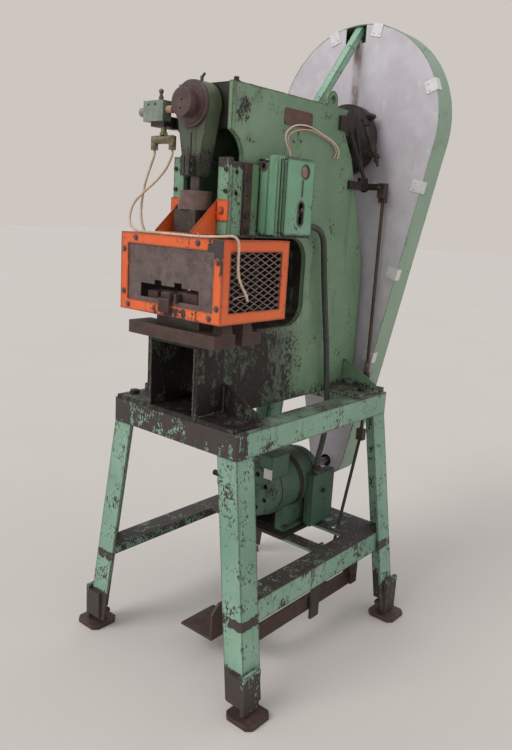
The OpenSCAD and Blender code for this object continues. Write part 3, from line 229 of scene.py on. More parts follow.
def oldSteel(name, dark, light, rust, rough=0.5, metal=0.5, scratch=0.3):
    s = Shader(name)
    cloud = s.noise(7.0, 4, 0.6)
    patch = s.noise(34, 6, 0.7)
    grain = s.noise(380, 4, 0.6)
    line = s.noise(3.0, 3, 0.6, (14, 14, 90))
    edge = s.step(s.edges(0.004), 0.02, 0.25)
    rusty = s.step(cloud * 0.5 + patch * 0.5, 0.62 - rust * 0.24, 0.74 - rust * 0.12)
    colour = s.blendColours(s.step(patch * 0.6 + grain * 0.4, 0.36, 0.66), dark, light)
    colour = s.blendColours(rusty * 0.75, colour, rustBrown)
    colour = s.blendColours(edge * (1 - rusty * 0.6) * 0.6, colour, bareGrey)
    s.bump(grain * 0.25 + patch * 0.5 + line * scratch * 0.3, 0.25, 0.0006)
    return s.put(colour=colour, rough=rough + rusty * 0.25 + grain * 0.1, metal=metal * (1 - rusty * 0.7))


def zincSheet(name):
    # Galvanised sheet, softly mottled, with a brown stain along the lap and a few bright scuffs
    s = Shader(name)
    cloud = s.noise(4, 5, 0.62)
    patch = s.noise(26, 4, 0.6)
    speck = s.noise(170, 4, 0.6)
    scuff = s.noise(1.0, 5, 0.6, (46, 46, 16))
    stain = s.near(s.x, -0.004, 0.02) * s.step(s.z, 1.46, 1.56) * s.step(patch * 0.5 + scuff * 0.5, 0.36, 0.58)
    colour = s.blendColours(s.step(cloud * 0.7 + patch * 0.3, 0.34, 0.66), ink(184, 177, 183), ink(204, 199, 205))
    colour = s.blendColours(s.step(scuff, 0.60, 0.74) * 0.4, colour, ink(226, 221, 224))
    colour = s.blendColours(s.step(speck, 0.68, 0.72) * 0.35, colour, ink(138, 126, 124))
    colour = s.blendColours(stain * 0.7, colour, ink(112, 78, 70))
    s.bump(patch * 0.3 + speck * 0.08, 0.14, 0.0006)
    return s.put(colour=colour, rough=0.40 + cloud * 0.16, metal=0.25)


def plainFinish(name, first, second, rough, metal=0.0, scale=90.0, coat=0.0):
    s = Shader(name)
    speck = s.noise(scale, 5, 0.6)
    cloud = s.noise(9, 3, 0.6)
    s.bump(speck, 0.12, 0.0004)
    tone = s.step(speck * 0.55 + cloud * 0.45, 0.35, 0.68)
    return s.put(colour=s.blendColours(tone, first, second), rough=rough + speck * 0.12, metal=metal, coat=coat)


def workshopFloor(name):
    s = Shader(name)
    speck = s.noise(60, 5, 0.6)
    cloud = s.noise(1.4, 4, 0.6)
    return s.put(colour=s.blendColours(speck * 0.4 + cloud * 0.6, floorTone, ink(208, 201, 196)), rough=0.85)


mint = ink(104, 142, 120)
mintPale = ink(140, 174, 152)
sage = ink(96, 126, 96)
sagePale = ink(124, 152, 122)
floorTone = ink(198, 191, 186)


# Where the paint has gone and where the oil lies, and where shade between the frame plates is painted, in metres of
# the part's own frame
def lowerJaw(s):
    return (1 - s.step(s.z, 0.90, 0.96)) * (1 - s.step(s.y, -0.10, 0.07))


def jawFront(s):
    return (1 - s.step(s.y, -0.382, -0.376)) * (1 - s.step(s.z, 0.90, 0.96))


# Painted shade: the inner faces between the frame plates are darkened to near black
def shadeBetweenPlates(s):
    inside = 1 - s.step(s.maths("ABSOLUTE", s.x), 0.0765, 0.0772)
    return inside * (1 - s.step(s.y, 0.10, 0.14)) * 1.6


def rubbedPatch(s):
    return s.near(s.y, -0.266, 0.034) * s.near(s.z, 1.458, 0.040) * s.step(s.x, 0.085, 0.088) * 1.1


def headFront(s):
    return (1 - s.step(s.y, -0.318, -0.298)) * s.step(s.z, 1.36, 1.42)


def frameFeet(s):
    return (1 - s.step(s.z, 0.728, 0.76)) * 0.55


def standFront(s):
    return (1 - s.step(s.y, -0.380, -0.366)) * s.step(s.z, 0.63, 0.66)


def standCorner(s):
    return s.step(s.x, 0.205, 0.226) * (1 - s.step(s.y, -0.36, -0.335)) * s.step(s.z, 0.63, 0.66)


def legFoot(s):
    return (1 - s.step(s.z, 0.100, 0.135)) * 1.6


def legWeld(s):
    return s.near(s.z, 0.243, 0.018) * 1.1


def leftRail(s):
    return (1 - s.step(s.x, -0.02, 0.06)) * 0.55


def railTop(s):
    return s.step(s.facingUp, 0.5, 0.9) * 0.75


def guideBar(s):
    return (1 - s.step(s.z, 0.212, 0.218)) * 1.5


def cageCorner(s):
    front = 1 - s.step(s.y, -0.4052, -0.4040)
    corner = s.step(s.x, 0.105, 0.15) * s.step(s.z, 1.105, 1.13)
    foot = s.near(s.x, 0.02, 0.15) * (1 - s.step(s.z, 0.99, 1.0))
    side = s.step(s.x, 0.163, 0.170) * s.step(s.z, 1.04, 1.1)
    return front * s.maths("MAXIMUM", corner, s.maths("MAXIMUM", foot * 0.8, side * 0.7)) * 1.1


def cageTop(s):
    return s.step(s.facingUp, 0.5, 0.9) * 0.35


def keeperTop(s):
    return s.step(s.z, 1.322, 1.336) * s.step(s.x, 0.0, 0.01) * 1.4


def boxEdge(s):
    return (1 - s.step(s.z, 1.172, 1.186)) * 0.7


def rodFoot(s):
    return (1 - s.step(s.z, 1.34, 1.40)) * 0.6


# In framePaint the oil list also carries painted shade between the plates, beside real oil on the jaw
enamels = {
    "framePaint": {"paint": sage, "pale": sagePale, "flecks": 0.6, "wear": 1.0, "grime": 0.42, "runs": 0.45,
                   "bare": (lowerJaw, rubbedPatch, headFront, frameFeet),
                   "oilAndShade": (shadeBetweenPlates, lowerJaw, jawFront), "dust": 0.5},
    "standPaint": {"paint": mint, "pale": mintPale, "flecks": 0.86, "wear": 1.0, "grime": 0.22, "runs": 0.3,
                   "bare": (standFront, standCorner), "oilAndShade": (), "dust": 0.85},
    "legPaint": {"paint": mint, "pale": mintPale, "flecks": 1.05, "wear": 1.0, "grime": 0.12, "runs": 0.3,
                 "bare": (legFoot, legWeld), "oilAndShade": (), "dust": 0.5},
    "railPaint": {"paint": mint, "pale": mintPale, "flecks": 0.92, "wear": 1.0, "grime": 0.3, "runs": 0.3,
                  "bare": (leftRail, railTop, guideBar), "oilAndShade": (), "dust": 0.7},
    "boxPaint": {"paint": ink(104, 152, 122), "pale": ink(138, 182, 150), "flecks": 0.45, "wear": 1.3,
                 "grime": 0.12, "runs": 0.55, "bare": (boxEdge,), "oilAndShade": (), "dust": 0.4},
    "gibPaint": {"paint": ink(104, 144, 116), "pale": ink(134, 170, 142), "flecks": 0.85, "wear": 1.0,
                 "grime": 0.3, "runs": 0.4, "bare": (keeperTop,), "oilAndShade": (), "dust": 0.5},
    "rodPaint": {"paint": ink(62, 72, 52), "pale": ink(90, 102, 78), "flecks": 0.7, "wear": 1.0, "grime": 0.95,
                 "runs": 0.8, "bare": (rodFoot,), "oilAndShade": (), "dust": 0.6},
    "hoodPaint": {"paint": ink(126, 152, 130), "pale": ink(146, 168, 146), "flecks": 0.3, "wear": 0.4,
                  "grime": 0.1, "runs": 0.15, "bare": (), "oilAndShade": (), "dust": 0.2},
    "bracePaint": {"paint": ink(118, 158, 132), "pale": ink(150, 186, 160), "flecks": 0.62, "wear": 0.8,
                   "grime": 0.1, "runs": 0.15, "bare": (), "oilAndShade": (), "dust": 0.1},
    "motorPaint": {"paint": ink(58, 84, 68), "pale": ink(88, 120, 98), "flecks": 0.8, "wear": 0.7, "grime": 0.9,
                   "runs": 0.8, "bare": (), "oilAndShade": (), "dust": 0.6},
    "orangePaint": {"paint": ink(216, 84, 30), "pale": ink(230, 108, 52), "flecks": 0.42, "wear": 0.95,
                    "grime": 0.0, "runs": 0.15, "bare": (cageCorner, cageTop), "oilAndShade": (), "dust": 0.25},
}
steels = {
    "darkSteel": {"dark": ink(40, 32, 30), "light": ink(70, 58, 54), "rust": 0.35},
    "ramSteel": {"dark": ink(56, 50, 44), "light": ink(92, 84, 76), "rust": 0.3, "rough": 0.35, "metal": 0.6},
    "rustySteel": {"dark": ink(62, 46, 41), "light": ink(88, 69, 62), "rust": 0.6, "rough": 0.55, "metal": 0.3},
    "ringSteel": {"dark": ink(88, 68, 64), "light": ink(126, 102, 96), "rust": 0.35, "rough": 0.42, "metal": 0.4},
    "capSteel": {"dark": ink(78, 60, 58), "light": ink(102, 82, 80), "rust": 0.25, "rough": 0.38, "metal": 0.4,
                 "scratch": 0.1},
    "brightSteel": {"dark": ink(110, 102, 98), "light": ink(160, 152, 148), "rust": 0.1, "rough": 0.3,
                    "metal": 0.8},
    "screwSteel": {"dark": ink(60, 54, 48), "light": ink(104, 96, 88), "rust": 0.3, "rough": 0.35, "metal": 0.6},
    "plateSteel": {"dark": ink(84, 70, 68), "light": ink(126, 110, 106), "rust": 0.5, "rough": 0.4, "metal": 0.4},
    "weldSteel": {"dark": ink(52, 44, 38), "light": ink(92, 84, 74), "rust": 0.4, "rough": 0.5, "metal": 0.3},
    "namePlate": {"dark": ink(88, 60, 56), "light": ink(108, 78, 72), "rust": 0.5, "rough": 0.5, "metal": 0.2},
    "meshSteel": {"dark": ink(104, 82, 76), "light": ink(140, 116, 110), "rust": 0.3, "rough": 0.45,
                  "metal": 0.3},
    # Near-black steel used only as painted shade: the sheets that close the throat and the cage, and the dark core of
    # the bush hole
    "shadeSteel": {"dark": ink(26, 18, 17), "light": ink(46, 34, 31), "rust": 0.3, "rough": 0.7, "metal": 0.2},
    "castIron": {"dark": ink(44, 42, 42), "light": ink(74, 70, 70), "rust": 0.25, "rough": 0.5, "metal": 0.5},
}
smoothSkins = {
    "clipSteel": {"first": ink(206, 204, 206), "second": ink(226, 224, 225), "rough": 0.36, "metal": 0.3,
                  "scale": 120},
    "bronze": {"first": ink(120, 92, 52), "second": ink(160, 128, 80), "rough": 0.35, "metal": 0.7, "scale": 80},
    "brassFitting": {"first": ink(92, 82, 60), "second": ink(150, 138, 108), "rough": 0.38, "metal": 0.55,
                     "scale": 140},
    "valveBody": {"first": ink(112, 124, 112), "second": ink(150, 158, 146), "rough": 0.4, "metal": 0.35,
                  "scale": 60},
    "tanPlastic": {"first": ink(160, 128, 96), "second": ink(196, 164, 130), "rough": 0.5, "metal": 0.0,
                   "scale": 100},
    "buttonBrown": {"first": ink(120, 86, 74), "second": ink(172, 136, 122), "rough": 0.4, "metal": 0.0,
                    "scale": 80},
    "leverBrown": {"first": ink(54, 40, 38), "second": ink(92, 62, 56), "rough": 0.4, "metal": 0.0, "scale": 80},
    "rubber": {"first": ink(20, 20, 20), "second": ink(34, 34, 34), "rough": 0.7},
    "conduitSkin": {"first": ink(46, 48, 44), "second": ink(72, 74, 66), "rough": 0.5, "metal": 0.0, "scale": 60},
    "hoseSkin": {"first": ink(182, 160, 136), "second": ink(214, 196, 172), "rough": 0.36, "metal": 0.0,
                 "scale": 60, "coat": 0.2},
    "wirePale": {"first": ink(214, 182, 170), "second": ink(236, 212, 200), "rough": 0.4},
    "wireWarm": {"first": ink(200, 136, 118), "second": ink(224, 168, 150), "rough": 0.4},
}
paints = {name: wornPaint(name, **settings) for name, settings in enamels.items()}
paints.update((name, oldSteel(name, **settings)) for name, settings in steels.items())
paints["zincSheet"] = zincSheet("zincSheet")
paints.update((name, plainFinish(name, **settings)) for name, settings in smoothSkins.items())
paints["workshopFloor"] = workshopFloor("workshopFloor")
print("finishes made")

nodeFinish = {
    "standPaint": ("stand_top",),
    "legPaint": ("stand_legs",),
    "railPaint": ("lower_rails",),
    "framePaint": ("press_frame",),
    "rustySteel": ("foot_pads", "bolster_plate", "die_clamps", "gib_bars", "treadle", "treadle_hanger", "trip_rod",
                   "foot_studs"),
    "ringSteel": ("lock_ring",),
    "capSteel": ("crank_cap",),
    "darkSteel": ("hold_down_bolts", "gib_bolts", "valve_bracket", "clamp_bolts", "trip_lever", "trip_stay",
                  "motor_base", "brake_band"),
    "ramSteel": ("ram", "lower_die"),
    "gibPaint": ("gib_blocks", "gib_keepers"),
    "bronze": ("shaft_bushes",),
    "boxPaint": ("switch_box", "switch_cover"),
    "buttonBrown": ("reset_button",),
    "leverBrown": ("switch_lever",),
    "valveBody": ("valve_block",),
    "tanPlastic": ("valve_plunger",),
    "brassFitting": ("air_fittings",),
    "orangePaint": ("cage_frame", "cage_brackets"),
    "plateSteel": ("cage_front",),
    "meshSteel": ("screen_left", "screen_right"),
    "zincSheet": ("hood_front",),
    "hoodPaint": ("hood_shell",),
    "bracePaint": ("hood_brace",),
    "clipSteel": ("hood_clips",),
    "rubber": ("drive_belt",),
    "motorPaint": ("motor_shell", "motor_bells", "terminal_box"),
    "brightSteel": ("motor_rotor", "crankshaft", "upper_die", "return_spring"),
    "screwSteel": ("adjusting_screw",),
    "castIron": ("flywheel", "brake_drum"),
    "rodPaint": ("connecting_rod",),
}


def dress(thing, finish):
    slots = thing.material_slots
    if not slots:
        thing.data.materials.append(paints[finish])
    for each in slots:
        each.material = paints[finish]


for finish, nodes in nodeFinish.items():
    for node in nodes:
        dress(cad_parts[node], finish)
print("nodes dressed")


# Cords follow the same points as the part's source
def smoothRoute(points, steps):
    made = []
    last = len(points) - 1
    for index in range(last):
        a, b = points[max(index - 1, 0)], points[index]
        c, d = points[index + 1], points[min(index + 2, last)]
        for count in range(steps):
            t = count / steps
            made.append(0.5 * (2 * b + (c - a) * t + (2 * a - 5 * b + 4 * c - d) * t ** 2
                               + (3 * b - a - 3 * c + d) * t ** 3))
    return made + [points[last]]


cords = {
    "conduitRun": {"node": "conduit", "radius": 8.5, "steps": 4, "finish": "conduitSkin",
                   "stiff": "stiff", "slot": "grey_conduit",
                   "route": ((114, -24, 1200), (114, -6, 1200), (114, 40, 1199), (112, 82, 1190), (110, 108, 1164),
                             (110, 117, 1120), (110, 126, 1060), (110, 145, 960), (110, 163, 869), (111, 175, 780),
                             (113, 181, 720), (114, 186, 650), (113, 188, 600), (108, 184, 550), (103, 180, 515),
                             (101, 178, 492), (101, 178, 474), (101, 178, 459.3))},
    "wireUpper": {"node": "wire_upper", "radius": 1.7, "steps": 4, "finish": "wirePale",
                  "stiff": "medium", "slot": "pink_wire",
                  "route": ((118, -74, 1354), (118, -74, 1364), (118, -78, 1380), (117, -94, 1402),
                            (115.5, -92, 1424), (112, -62, 1443), (109, -18, 1451), (106, 25, 1450), (103, 75, 1440),
                            (101, 119, 1431), (99, 150, 1420), (97, 168, 1406), (95, 171, 1393), (91, 169, 1386),
                            (84, 169, 1386))},
    "wireLower": {"node": "wire_lower", "radius": 1.7, "steps": 4, "finish": "wireWarm",
                  "stiff": "medium", "slot": "pink_wire",
                  "route": ((115, -67, 1354), (115, -67, 1364), (115, -70, 1382), (114, -82, 1404), (112, -75, 1420),
                            (109, -49, 1433), (106, -11, 1441), (103, 33, 1443), (100, 83, 1435), (98, 124, 1426),
                            (96.5, 148, 1415), (96, 157, 1403), (94.5, 156, 1392), (91, 151, 1386), (84, 151, 1386))},
    "hoseLeft": {"node": "hose_left", "radius": 3.2, "steps": 5, "finish": "hoseSkin",
                 "stiff": "medium", "slot": "tan_hose",
                 "route": ((-124, -310.3, 1362.7), (-124.5, -310.6, 1350), (-134, -314, 1322), (-146, -318, 1286),
                           (-152, -322, 1248), (-150, -327, 1214), (-142, -331, 1188), (-130, -331, 1165),
                           (-114, -329, 1135), (-96, -326, 1100), (-80, -324, 1070), (-66, -324, 1044))},
    "hoseRight": {"node": "hose_right", "radius": 3.2, "steps": 4, "finish": "hoseSkin",
                  "stiff": "medium", "slot": "tan_hose",
                  "route": ((-60, -310.3, 1362.7), (-60.5, -310.6, 1350), (-76, -315, 1318), (-104, -322, 1288),
                            (-136, -330, 1262), (-160, -340, 1236), (-166, -348, 1210), (-156, -357, 1184),
                            (-132, -362, 1170), (-104, -363, 1166.5), (-50, -363, 1166.5), (20, -363, 1166.5),
                            (90, -363, 1166.5), (130, -358, 1168), (156, -348, 1170), (175, -337, 1172),
                            (184, -329, 1164), (184, -324, 1146), (181, -321, 1120), (181, -318, 1085),
                            (181, -305, 1060), (181, -288, 1038), (181, -282, 1024))},
}
cordSmoothness = 5


def layCord(name, plan):
    path = smoothRoute([at(*point) for point in plan["route"]], plan["steps"])
    data = bpy.data.curves.new(name, "CURVE")
    data.dimensions = "3D"
    data.bevel_depth = plan["radius"] / 1000
    data.bevel_resolution = cordSmoothness
    data.use_fill_caps = True
    line = data.splines.new("POLY")
    line.points.add(len(path) - 1)
    for spot, place in zip(line.points, path):
        spot.co = (*place, 1)
    cord = bpy.data.objects.new(name, data)
    bpy.context.scene.collection.objects.link(cord)
    data.materials.append(paints[plan["finish"]])
    length = sum((b - a).length for a, b in zip(path, path[1:]))
    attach(cord, "press")
    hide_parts(plan["node"])


for name, plan in cords.items():
    layCord(name, plan)
print("cords laid")


# Modelling helpers: a primitive at its place, shaped in edit mode and given softened edges
sharpAngle = math.radians(40)
facingLimit = 0.95


def startBlock(name, low, high):
    bpy.ops.object.select_all(action="DESELECT")
    a, b = at(*low), at(*high)
    bpy.ops.mesh.primitive_cube_add(size=1, location=(a + b) / 2)
    piece = bpy.context.object
    piece.name = name
    piece.scale = b - a
    bpy.ops.object.transform_apply(location=True, rotation=True, scale=True)
    return piece


def startRod(name, start, end, radius, sides):
    bpy.ops.object.select_all(action="DESELECT")
    a, b = at(*start), at(*end)
    bpy.ops.mesh.primitive_cylinder_add(vertices=sides, radius=radius / 1000, depth=(b - a).length,
                                        location=(a + b) / 2, rotation=(b - a).to_track_quat("Z", "Y").to_euler())
    piece = bpy.context.object
    piece.name = name
    bpy.ops.object.transform_apply(location=True, rotation=True, scale=True)
    return piece


def startRing(name, middle, way, radius, thickness, turns=32):
    bpy.ops.object.select_all(action="DESELECT")
    bpy.ops.mesh.primitive_torus_add(major_radius=radius / 1000, minor_radius=thickness / 1000,
                                     major_segments=turns, minor_segments=10, location=at(*middle),
                                     rotation=Vector(way).to_track_quat("Z", "Y").to_euler())
    piece = bpy.context.object
    piece.name = name
    bpy.ops.object.transform_apply(location=True, rotation=True, scale=True)
    return piece


def pickFaces(piece, test):
    bpy.ops.object.mode_set(mode="EDIT")
    bpy.ops.mesh.select_mode(type="FACE")
    bpy.ops.mesh.select_all(action="DESELECT")
    bpy.ops.object.mode_set(mode="OBJECT")
    for face in piece.data.polygons:
        face.select = test(face)
    bpy.ops.object.mode_set(mode="EDIT")


def pickFacing(piece, way):
    pickFaces(piece, lambda face: face.normal.dot(Vector(way).normalized()) > facingLimit)


def inset(width, depth):
    bpy.ops.mesh.inset(thickness=width / 1000, depth=depth / 1000)


def drawOut(x, y, z):
    bpy.ops.mesh.extrude_region_move(TRANSFORM_OT_translate={"value": (x / 1000, y / 1000, z / 1000)})


def finishPiece(piece, finish, body="press", bevel=0.6, segments=2):
    if piece.mode == "EDIT":
        bpy.ops.object.mode_set(mode="OBJECT")
    bpy.ops.object.select_all(action="DESELECT")
    piece.select_set(True)
    bpy.context.view_layer.objects.active = piece
    if bevel:
        soften = piece.modifiers.new("soften", "BEVEL")
        soften.width = bevel / 1000
        soften.segments = segments
        soften.limit_method = "ANGLE"
        soften.angle_limit = sharpAngle
        bpy.ops.object.modifier_apply(modifier="soften")
    bpy.ops.object.shade_smooth_by_angle(angle=sharpAngle)
    piece.data.materials.clear()
    piece.data.materials.append(paints[finish])
    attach(piece, body)
    return piece


def copyPiece(piece, name, move, body):
    twin = piece.copy()
    twin.data = piece.data.copy()
    twin.name = name
    twin.data.transform(Matrix.Translation(Vector(move) / 1000))
    bpy.context.scene.collection.objects.link(twin)
    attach(twin, body)
    return twin


def joinPieces(first, others):
    bpy.ops.object.select_all(action="DESELECT")
    for each in others:
        each.select_set(True)
    first.select_set(True)
    bpy.context.view_layer.objects.active = first
    bpy.ops.object.join()
    return first


# Bolts: a chamfered hexagon on a washer, pointing out of the face that it holds
boltShape = {"washer": 1.2, "washerWidth": 1.45, "seat": 1.1, "crown": (0.16, 0.7), "dish": (0.12, -0.3)}


def hexBolt(name, base, way, size, height, finish):
    spot, out = Vector(base), Vector(way).normalized()
    washer = startRod(name + "Washer", spot, spot + out * boltShape["washer"], size * boltShape["washerWidth"], 28)
    head = startRod(name, spot + out * boltShape["seat"], spot + out * height, size, 6)
    pickFacing(head, out)
    for width, rise in (boltShape["crown"], boltShape["dish"]):
        inset(size * width, rise)
    bpy.ops.object.mode_set(mode="OBJECT")
    return finishPiece(joinPieces(head, [washer]), finish, bevel=0.35)


cageBolts = {"face": -367, "size": 5.4, "height": 4.6,
             "spots": ((-120, 1151), (96, 1152), (-163, 1121), (162, 1113), (162, 1008), (140, 983), (-11, 984),
                       (-146, 983), (-163, 1015))}


def addCageBolts():
    x0, z0 = cageBolts["spots"][0]
    first = hexBolt("cageBolt1", (x0, cageBolts["face"], z0), (0, -1, 0), cageBolts["size"], cageBolts["height"],
                    "ringSteel")
    for count, (x, z) in enumerate(cageBolts["spots"][1:], 2):
        copyPiece(first, f"cageBolt{count}", (x - x0, 0, z - z0), "press")


# Bolt on the front corner of the frame's top
topBolt = {"spot": (84, -250, 1520), "way": (0, 0, 1), "size": 6.5, "height": 9}


def addTopBolt():
    hexBolt("topFrontBolt", topBolt["spot"], topBolt["way"], topBolt["size"], topBolt["height"], "darkSteel")


# Bare plate held by four rivets on the right side plate
namePlate = {"face": 90.01, "thick": 1.4, "low": (-73, 1447), "high": (46, 1488), "corner": 7,
             "lip": (2.2, -0.4), "rivet": 2.2, "rivetEdge": 7, "rivetRise": 1.1, "rivetCrown": (0.8, 0.4)}


def addNamePlate():
    x0, x1 = namePlate["face"], namePlate["face"] + namePlate["thick"]
    (y0, z0), (y1, z1) = namePlate["low"], namePlate["high"]
    plate = startBlock("namePlate", (x0, y0, z0), (x1, y1, z1))
    bpy.ops.object.mode_set(mode="EDIT")
    bpy.ops.mesh.select_mode(type="EDGE")
    bpy.ops.mesh.select_all(action="DESELECT")
    bpy.ops.object.mode_set(mode="OBJECT")
    points = plate.data.vertices
    for edge in plate.data.edges:
        a, b = (points[index].co for index in edge.vertices)
        edge.select = abs(a.x - b.x) > namePlate["thick"] / 2000
    bpy.ops.object.mode_set(mode="EDIT")
    bpy.ops.mesh.bevel(offset=namePlate["corner"] / 1000, segments=3, affect="EDGES")
    pickFacing(plate, (1, 0, 0))
    inset(*namePlate["lip"])
    finishPiece(plate, "namePlate", bevel=0)
    edge = namePlate["rivetEdge"]
    spots = [(y, z) for z in (z0 + edge, z1 - edge) for y in (y0 + edge, y1 - edge)]
    for count, (y, z) in enumerate(spots, 1):
        rivet = startRod(f"plateRivet{count}", (x1 - 0.5, y, z), (x1 + namePlate["rivetRise"], y, z),
                         namePlate["rivet"], 12)
        pickFacing(rivet, (1, 0, 0))
        inset(*namePlate["rivetCrown"])
        finishPiece(rivet, "ringSteel", bevel=0.2)


# Starter box: rim of the oval window, ring and dish of the button, ribs, and a side bush with a lug and a hook
boxTrim = {"face": 162, "windowMiddle": (-74, 1230), "windowHalf": 18, "windowRadius": 12.4, "rim": 2.3,
           "button": (-64, 1332), "buttonRing": (17.5, 1.7), "buttonDish": (12.2, 1.6), "dishFace": 159,
           "ribs": (-160.5, -149.5), "ribHalf": 2.2, "ribRise": 3.4, "ribCrown": (1.0, 0.8), "ledge": 154,
           "ribZ": (1181, 1352), "bush": (111, -165, 1338), "bushRadius": 11, "bushSteps": ((3.2, 0), (0.6, -5.4)),
           "bushHole": 7.2, "holeStep": (1.5, -0.6)}
bushFittings = {"bushLug": (-3, 9), "bushHook": (-14, 12)}
fittingShape = {"size": (17, 4, 5), "crown": (1.2, 0.6)}


def addBoxTrim():
    y, z = boxTrim["windowMiddle"]
    outward = (1, 0, 0)
    rim = startRing("windowRim", (boxTrim["face"], y, z), outward, boxTrim["windowRadius"], boxTrim["rim"])
    middle, nearMiddle = at(0, 0, z).z, 0.0004
    for sign in (1, -1):
        pickFaces(rim, lambda face: sign * (face.center.z - middle) > nearMiddle)
        bpy.ops.transform.translate(value=(0, 0, sign * boxTrim["windowHalf"] / 1000))
        bpy.ops.object.mode_set(mode="OBJECT")
    finishPiece(rim, "plateSteel", bevel=0)
    y, z = boxTrim["button"]
    ring = startRing("buttonRing", (boxTrim["face"] - 0.6, y, z), outward, *boxTrim["buttonRing"])
    finishPiece(ring, "boxPaint", bevel=0)
    dish = startRing("buttonDish", (boxTrim["dishFace"], y, z), outward, *boxTrim["buttonDish"])
    finishPiece(dish, "buttonBrown", body="button", bevel=0)
    low, high = boxTrim["ribZ"]
    ledge, half = boxTrim["ledge"], boxTrim["ribHalf"]
    for count, y in enumerate(boxTrim["ribs"], 1):
        rib = startBlock(f"coverRib{count}", (ledge - 1, y - half, low), (ledge + boxTrim["ribRise"], y + half, high))
        pickFacing(rib, outward)
        inset(*boxTrim["ribCrown"])
        finishPiece(rib, "boxPaint", bevel=0.8, segments=3)
    x, y, z = boxTrim["bush"]
    bush = startRod("sideBush", (x, y + 2, z), (x, y - 5, z), boxTrim["bushRadius"], 28)
    pickFacing(bush, (0, -1, 0))
    for step in boxTrim["bushSteps"]:
        inset(*step)
    finishPiece(bush, "plateSteel", bevel=0.6)
    # The bush hole's near-black core is painted shade
    core = startRod("bushHole", (x, y + 1, z), (x, y - 0.6, z), boxTrim["bushHole"], 20)
    pickFacing(core, (0, -1, 0))
    inset(*boxTrim["holeStep"])
    finishPiece(core, "shadeSteel", bevel=0.2)
    for name, (side, rise) in bushFittings.items():
        low = Vector((x + side, y - 3.6, z + rise))
        lug = startBlock(name, low, low + Vector(fittingShape["size"]))
        pickFacing(lug, (0, -1, 0))
        inset(*fittingShape["crown"])
        finishPiece(lug, "darkSteel", bevel=0.7)


# Guard sheet: the lap down its middle
sheetLap = {"x": (-13, -3), "z": (1524, 1742), "face": 378, "sunk": 1.5, "gap": 0.05, "wing": (7, 1.2, 0)}


def addSheetLap():
    (x0, x1), (z0, z1), face = sheetLap["x"], sheetLap["z"], sheetLap["face"]
    lap = startBlock("sheetLap", (x0, face - sheetLap["sunk"], z0), (x1, face - sheetLap["gap"], z1))
    pickFacing(lap, (1, 0, 0))
    drawOut(*sheetLap["wing"])
    finishPiece(lap, "zincSheet", bevel=0.3)


# Ties that hold the air tube to the cage
hoseTies = ({"name": "middleTie", "middle": (181, -318, 1086), "way": (0, 0.35, -1), "tail": (189, -333, 1080)},
            {"name": "lowerTie", "middle": (181, -288, 1038), "way": (0, 0.5, -1), "tail": (179, -330, 1031)},
            {"name": "frontTie", "middle": (96, -363, 1166.5), "way": (1, 0, 0), "tail": (97, -371, 1176)})
tieShape = {"radius": 3.9, "wire": 0.9, "tail": 0.8, "tailEnd": (0.25, 0.4)}


def addHoseTies():
    for tie in hoseTies:
        middle = Vector(tie["middle"])
        ring = startRing(tie["name"], middle, tie["way"], tieShape["radius"], tieShape["wire"], 16)
        tail = startRod(tie["name"] + "Tail", middle, tie["tail"], tieShape["tail"], 8)
        pickFacing(tail, Vector(tie["tail"]) - middle)
        inset(*tieShape["tailEnd"])
        bpy.ops.object.mode_set(mode="OBJECT")
        finishPiece(joinPieces(ring, [tail]), "hoseSkin", bevel=0)


# Nuts at both ends of the conduit
conduitNuts = ({"name": "boxNut", "start": (114, -9, 1200), "end": (114, 0, 1200)},
               {"name": "motorNut", "start": (101, 178, 472), "end": (101, 178, 481)})
conduitNutShape = {"radius": 15, "steps": ((2.4, 1.2), (2.2, 2.6))}


def addConduitNuts():
    for nut in conduitNuts:
        start, end = Vector(nut["start"]), Vector(nut["end"])
        piece = startRod(nut["name"], start, end, conduitNutShape["radius"], 6)
        pickFacing(piece, end - start)
        for step in conduitNutShape["steps"]:
            inset(*step)
        finishPiece(piece, "darkSteel", bevel=0.6)


# Die set behind the slot, and near-black sheets that close the left sides of the throat and the cage, as painted
# shade for the dark inside them
sheetRim = 14
shadeSheets = {"throatShadeSheet": {"low": (-96.6, -130, 905), "high": (-90.05, 62, 1196), "step": -5.0},
              "cageShadeSheet": {"low": (-170.6, -352, 981), "high": (-169.2, -142, 1152), "step": 0.3}}
dieBlocks = {
    "frontPunch": {"low": (-25, -376, 979), "high": (14, -364.4, 1014), "step": (3.5, 2.5)},
    "punchArm": {"low": (-20, -370, 1010), "high": (10, -290, 1029), "step": (2.5, 2.0)},
    "leftStop": {"low": (-96, -345, 1001), "high": (-58, -300, 1024), "step": (3, 3)},
    "rightStop": {"low": (16, -350, 1000), "high": (86, -296, 1031), "step": (4, 3)},
    "rightFinger": {"low": (26, -371, 1005), "high": (34, -348, 1028), "step": (1.4, 1.5)},
}


def addDieBlocks():
    for name, block in dieBlocks.items():
        piece = startBlock(name, block["low"], block["high"])
        pickFacing(piece, (0, -1, 0))
        inset(*block["step"])
        finishPiece(piece, "rustySteel", bevel=0.9)
    for name, plan in shadeSheets.items():
        sheet = startBlock(name, plan["low"], plan["high"])
        pickFacing(sheet, (1, 0, 0))
        inset(sheetRim, plan["step"])
        finishPiece(sheet, "shadeSteel", bevel=0.2)


# Turnbuckle and sleeve on the trip rod
tripRodAt = (140, 356)
fittingEnd = (1.6, 1.4)
rodFittings = {"turnbuckle": {"z": (758, 790), "radius": 8.5, "sides": 6},
               "rodSleeve": {"z": (540, 570), "radius": 7, "sides": 20}}


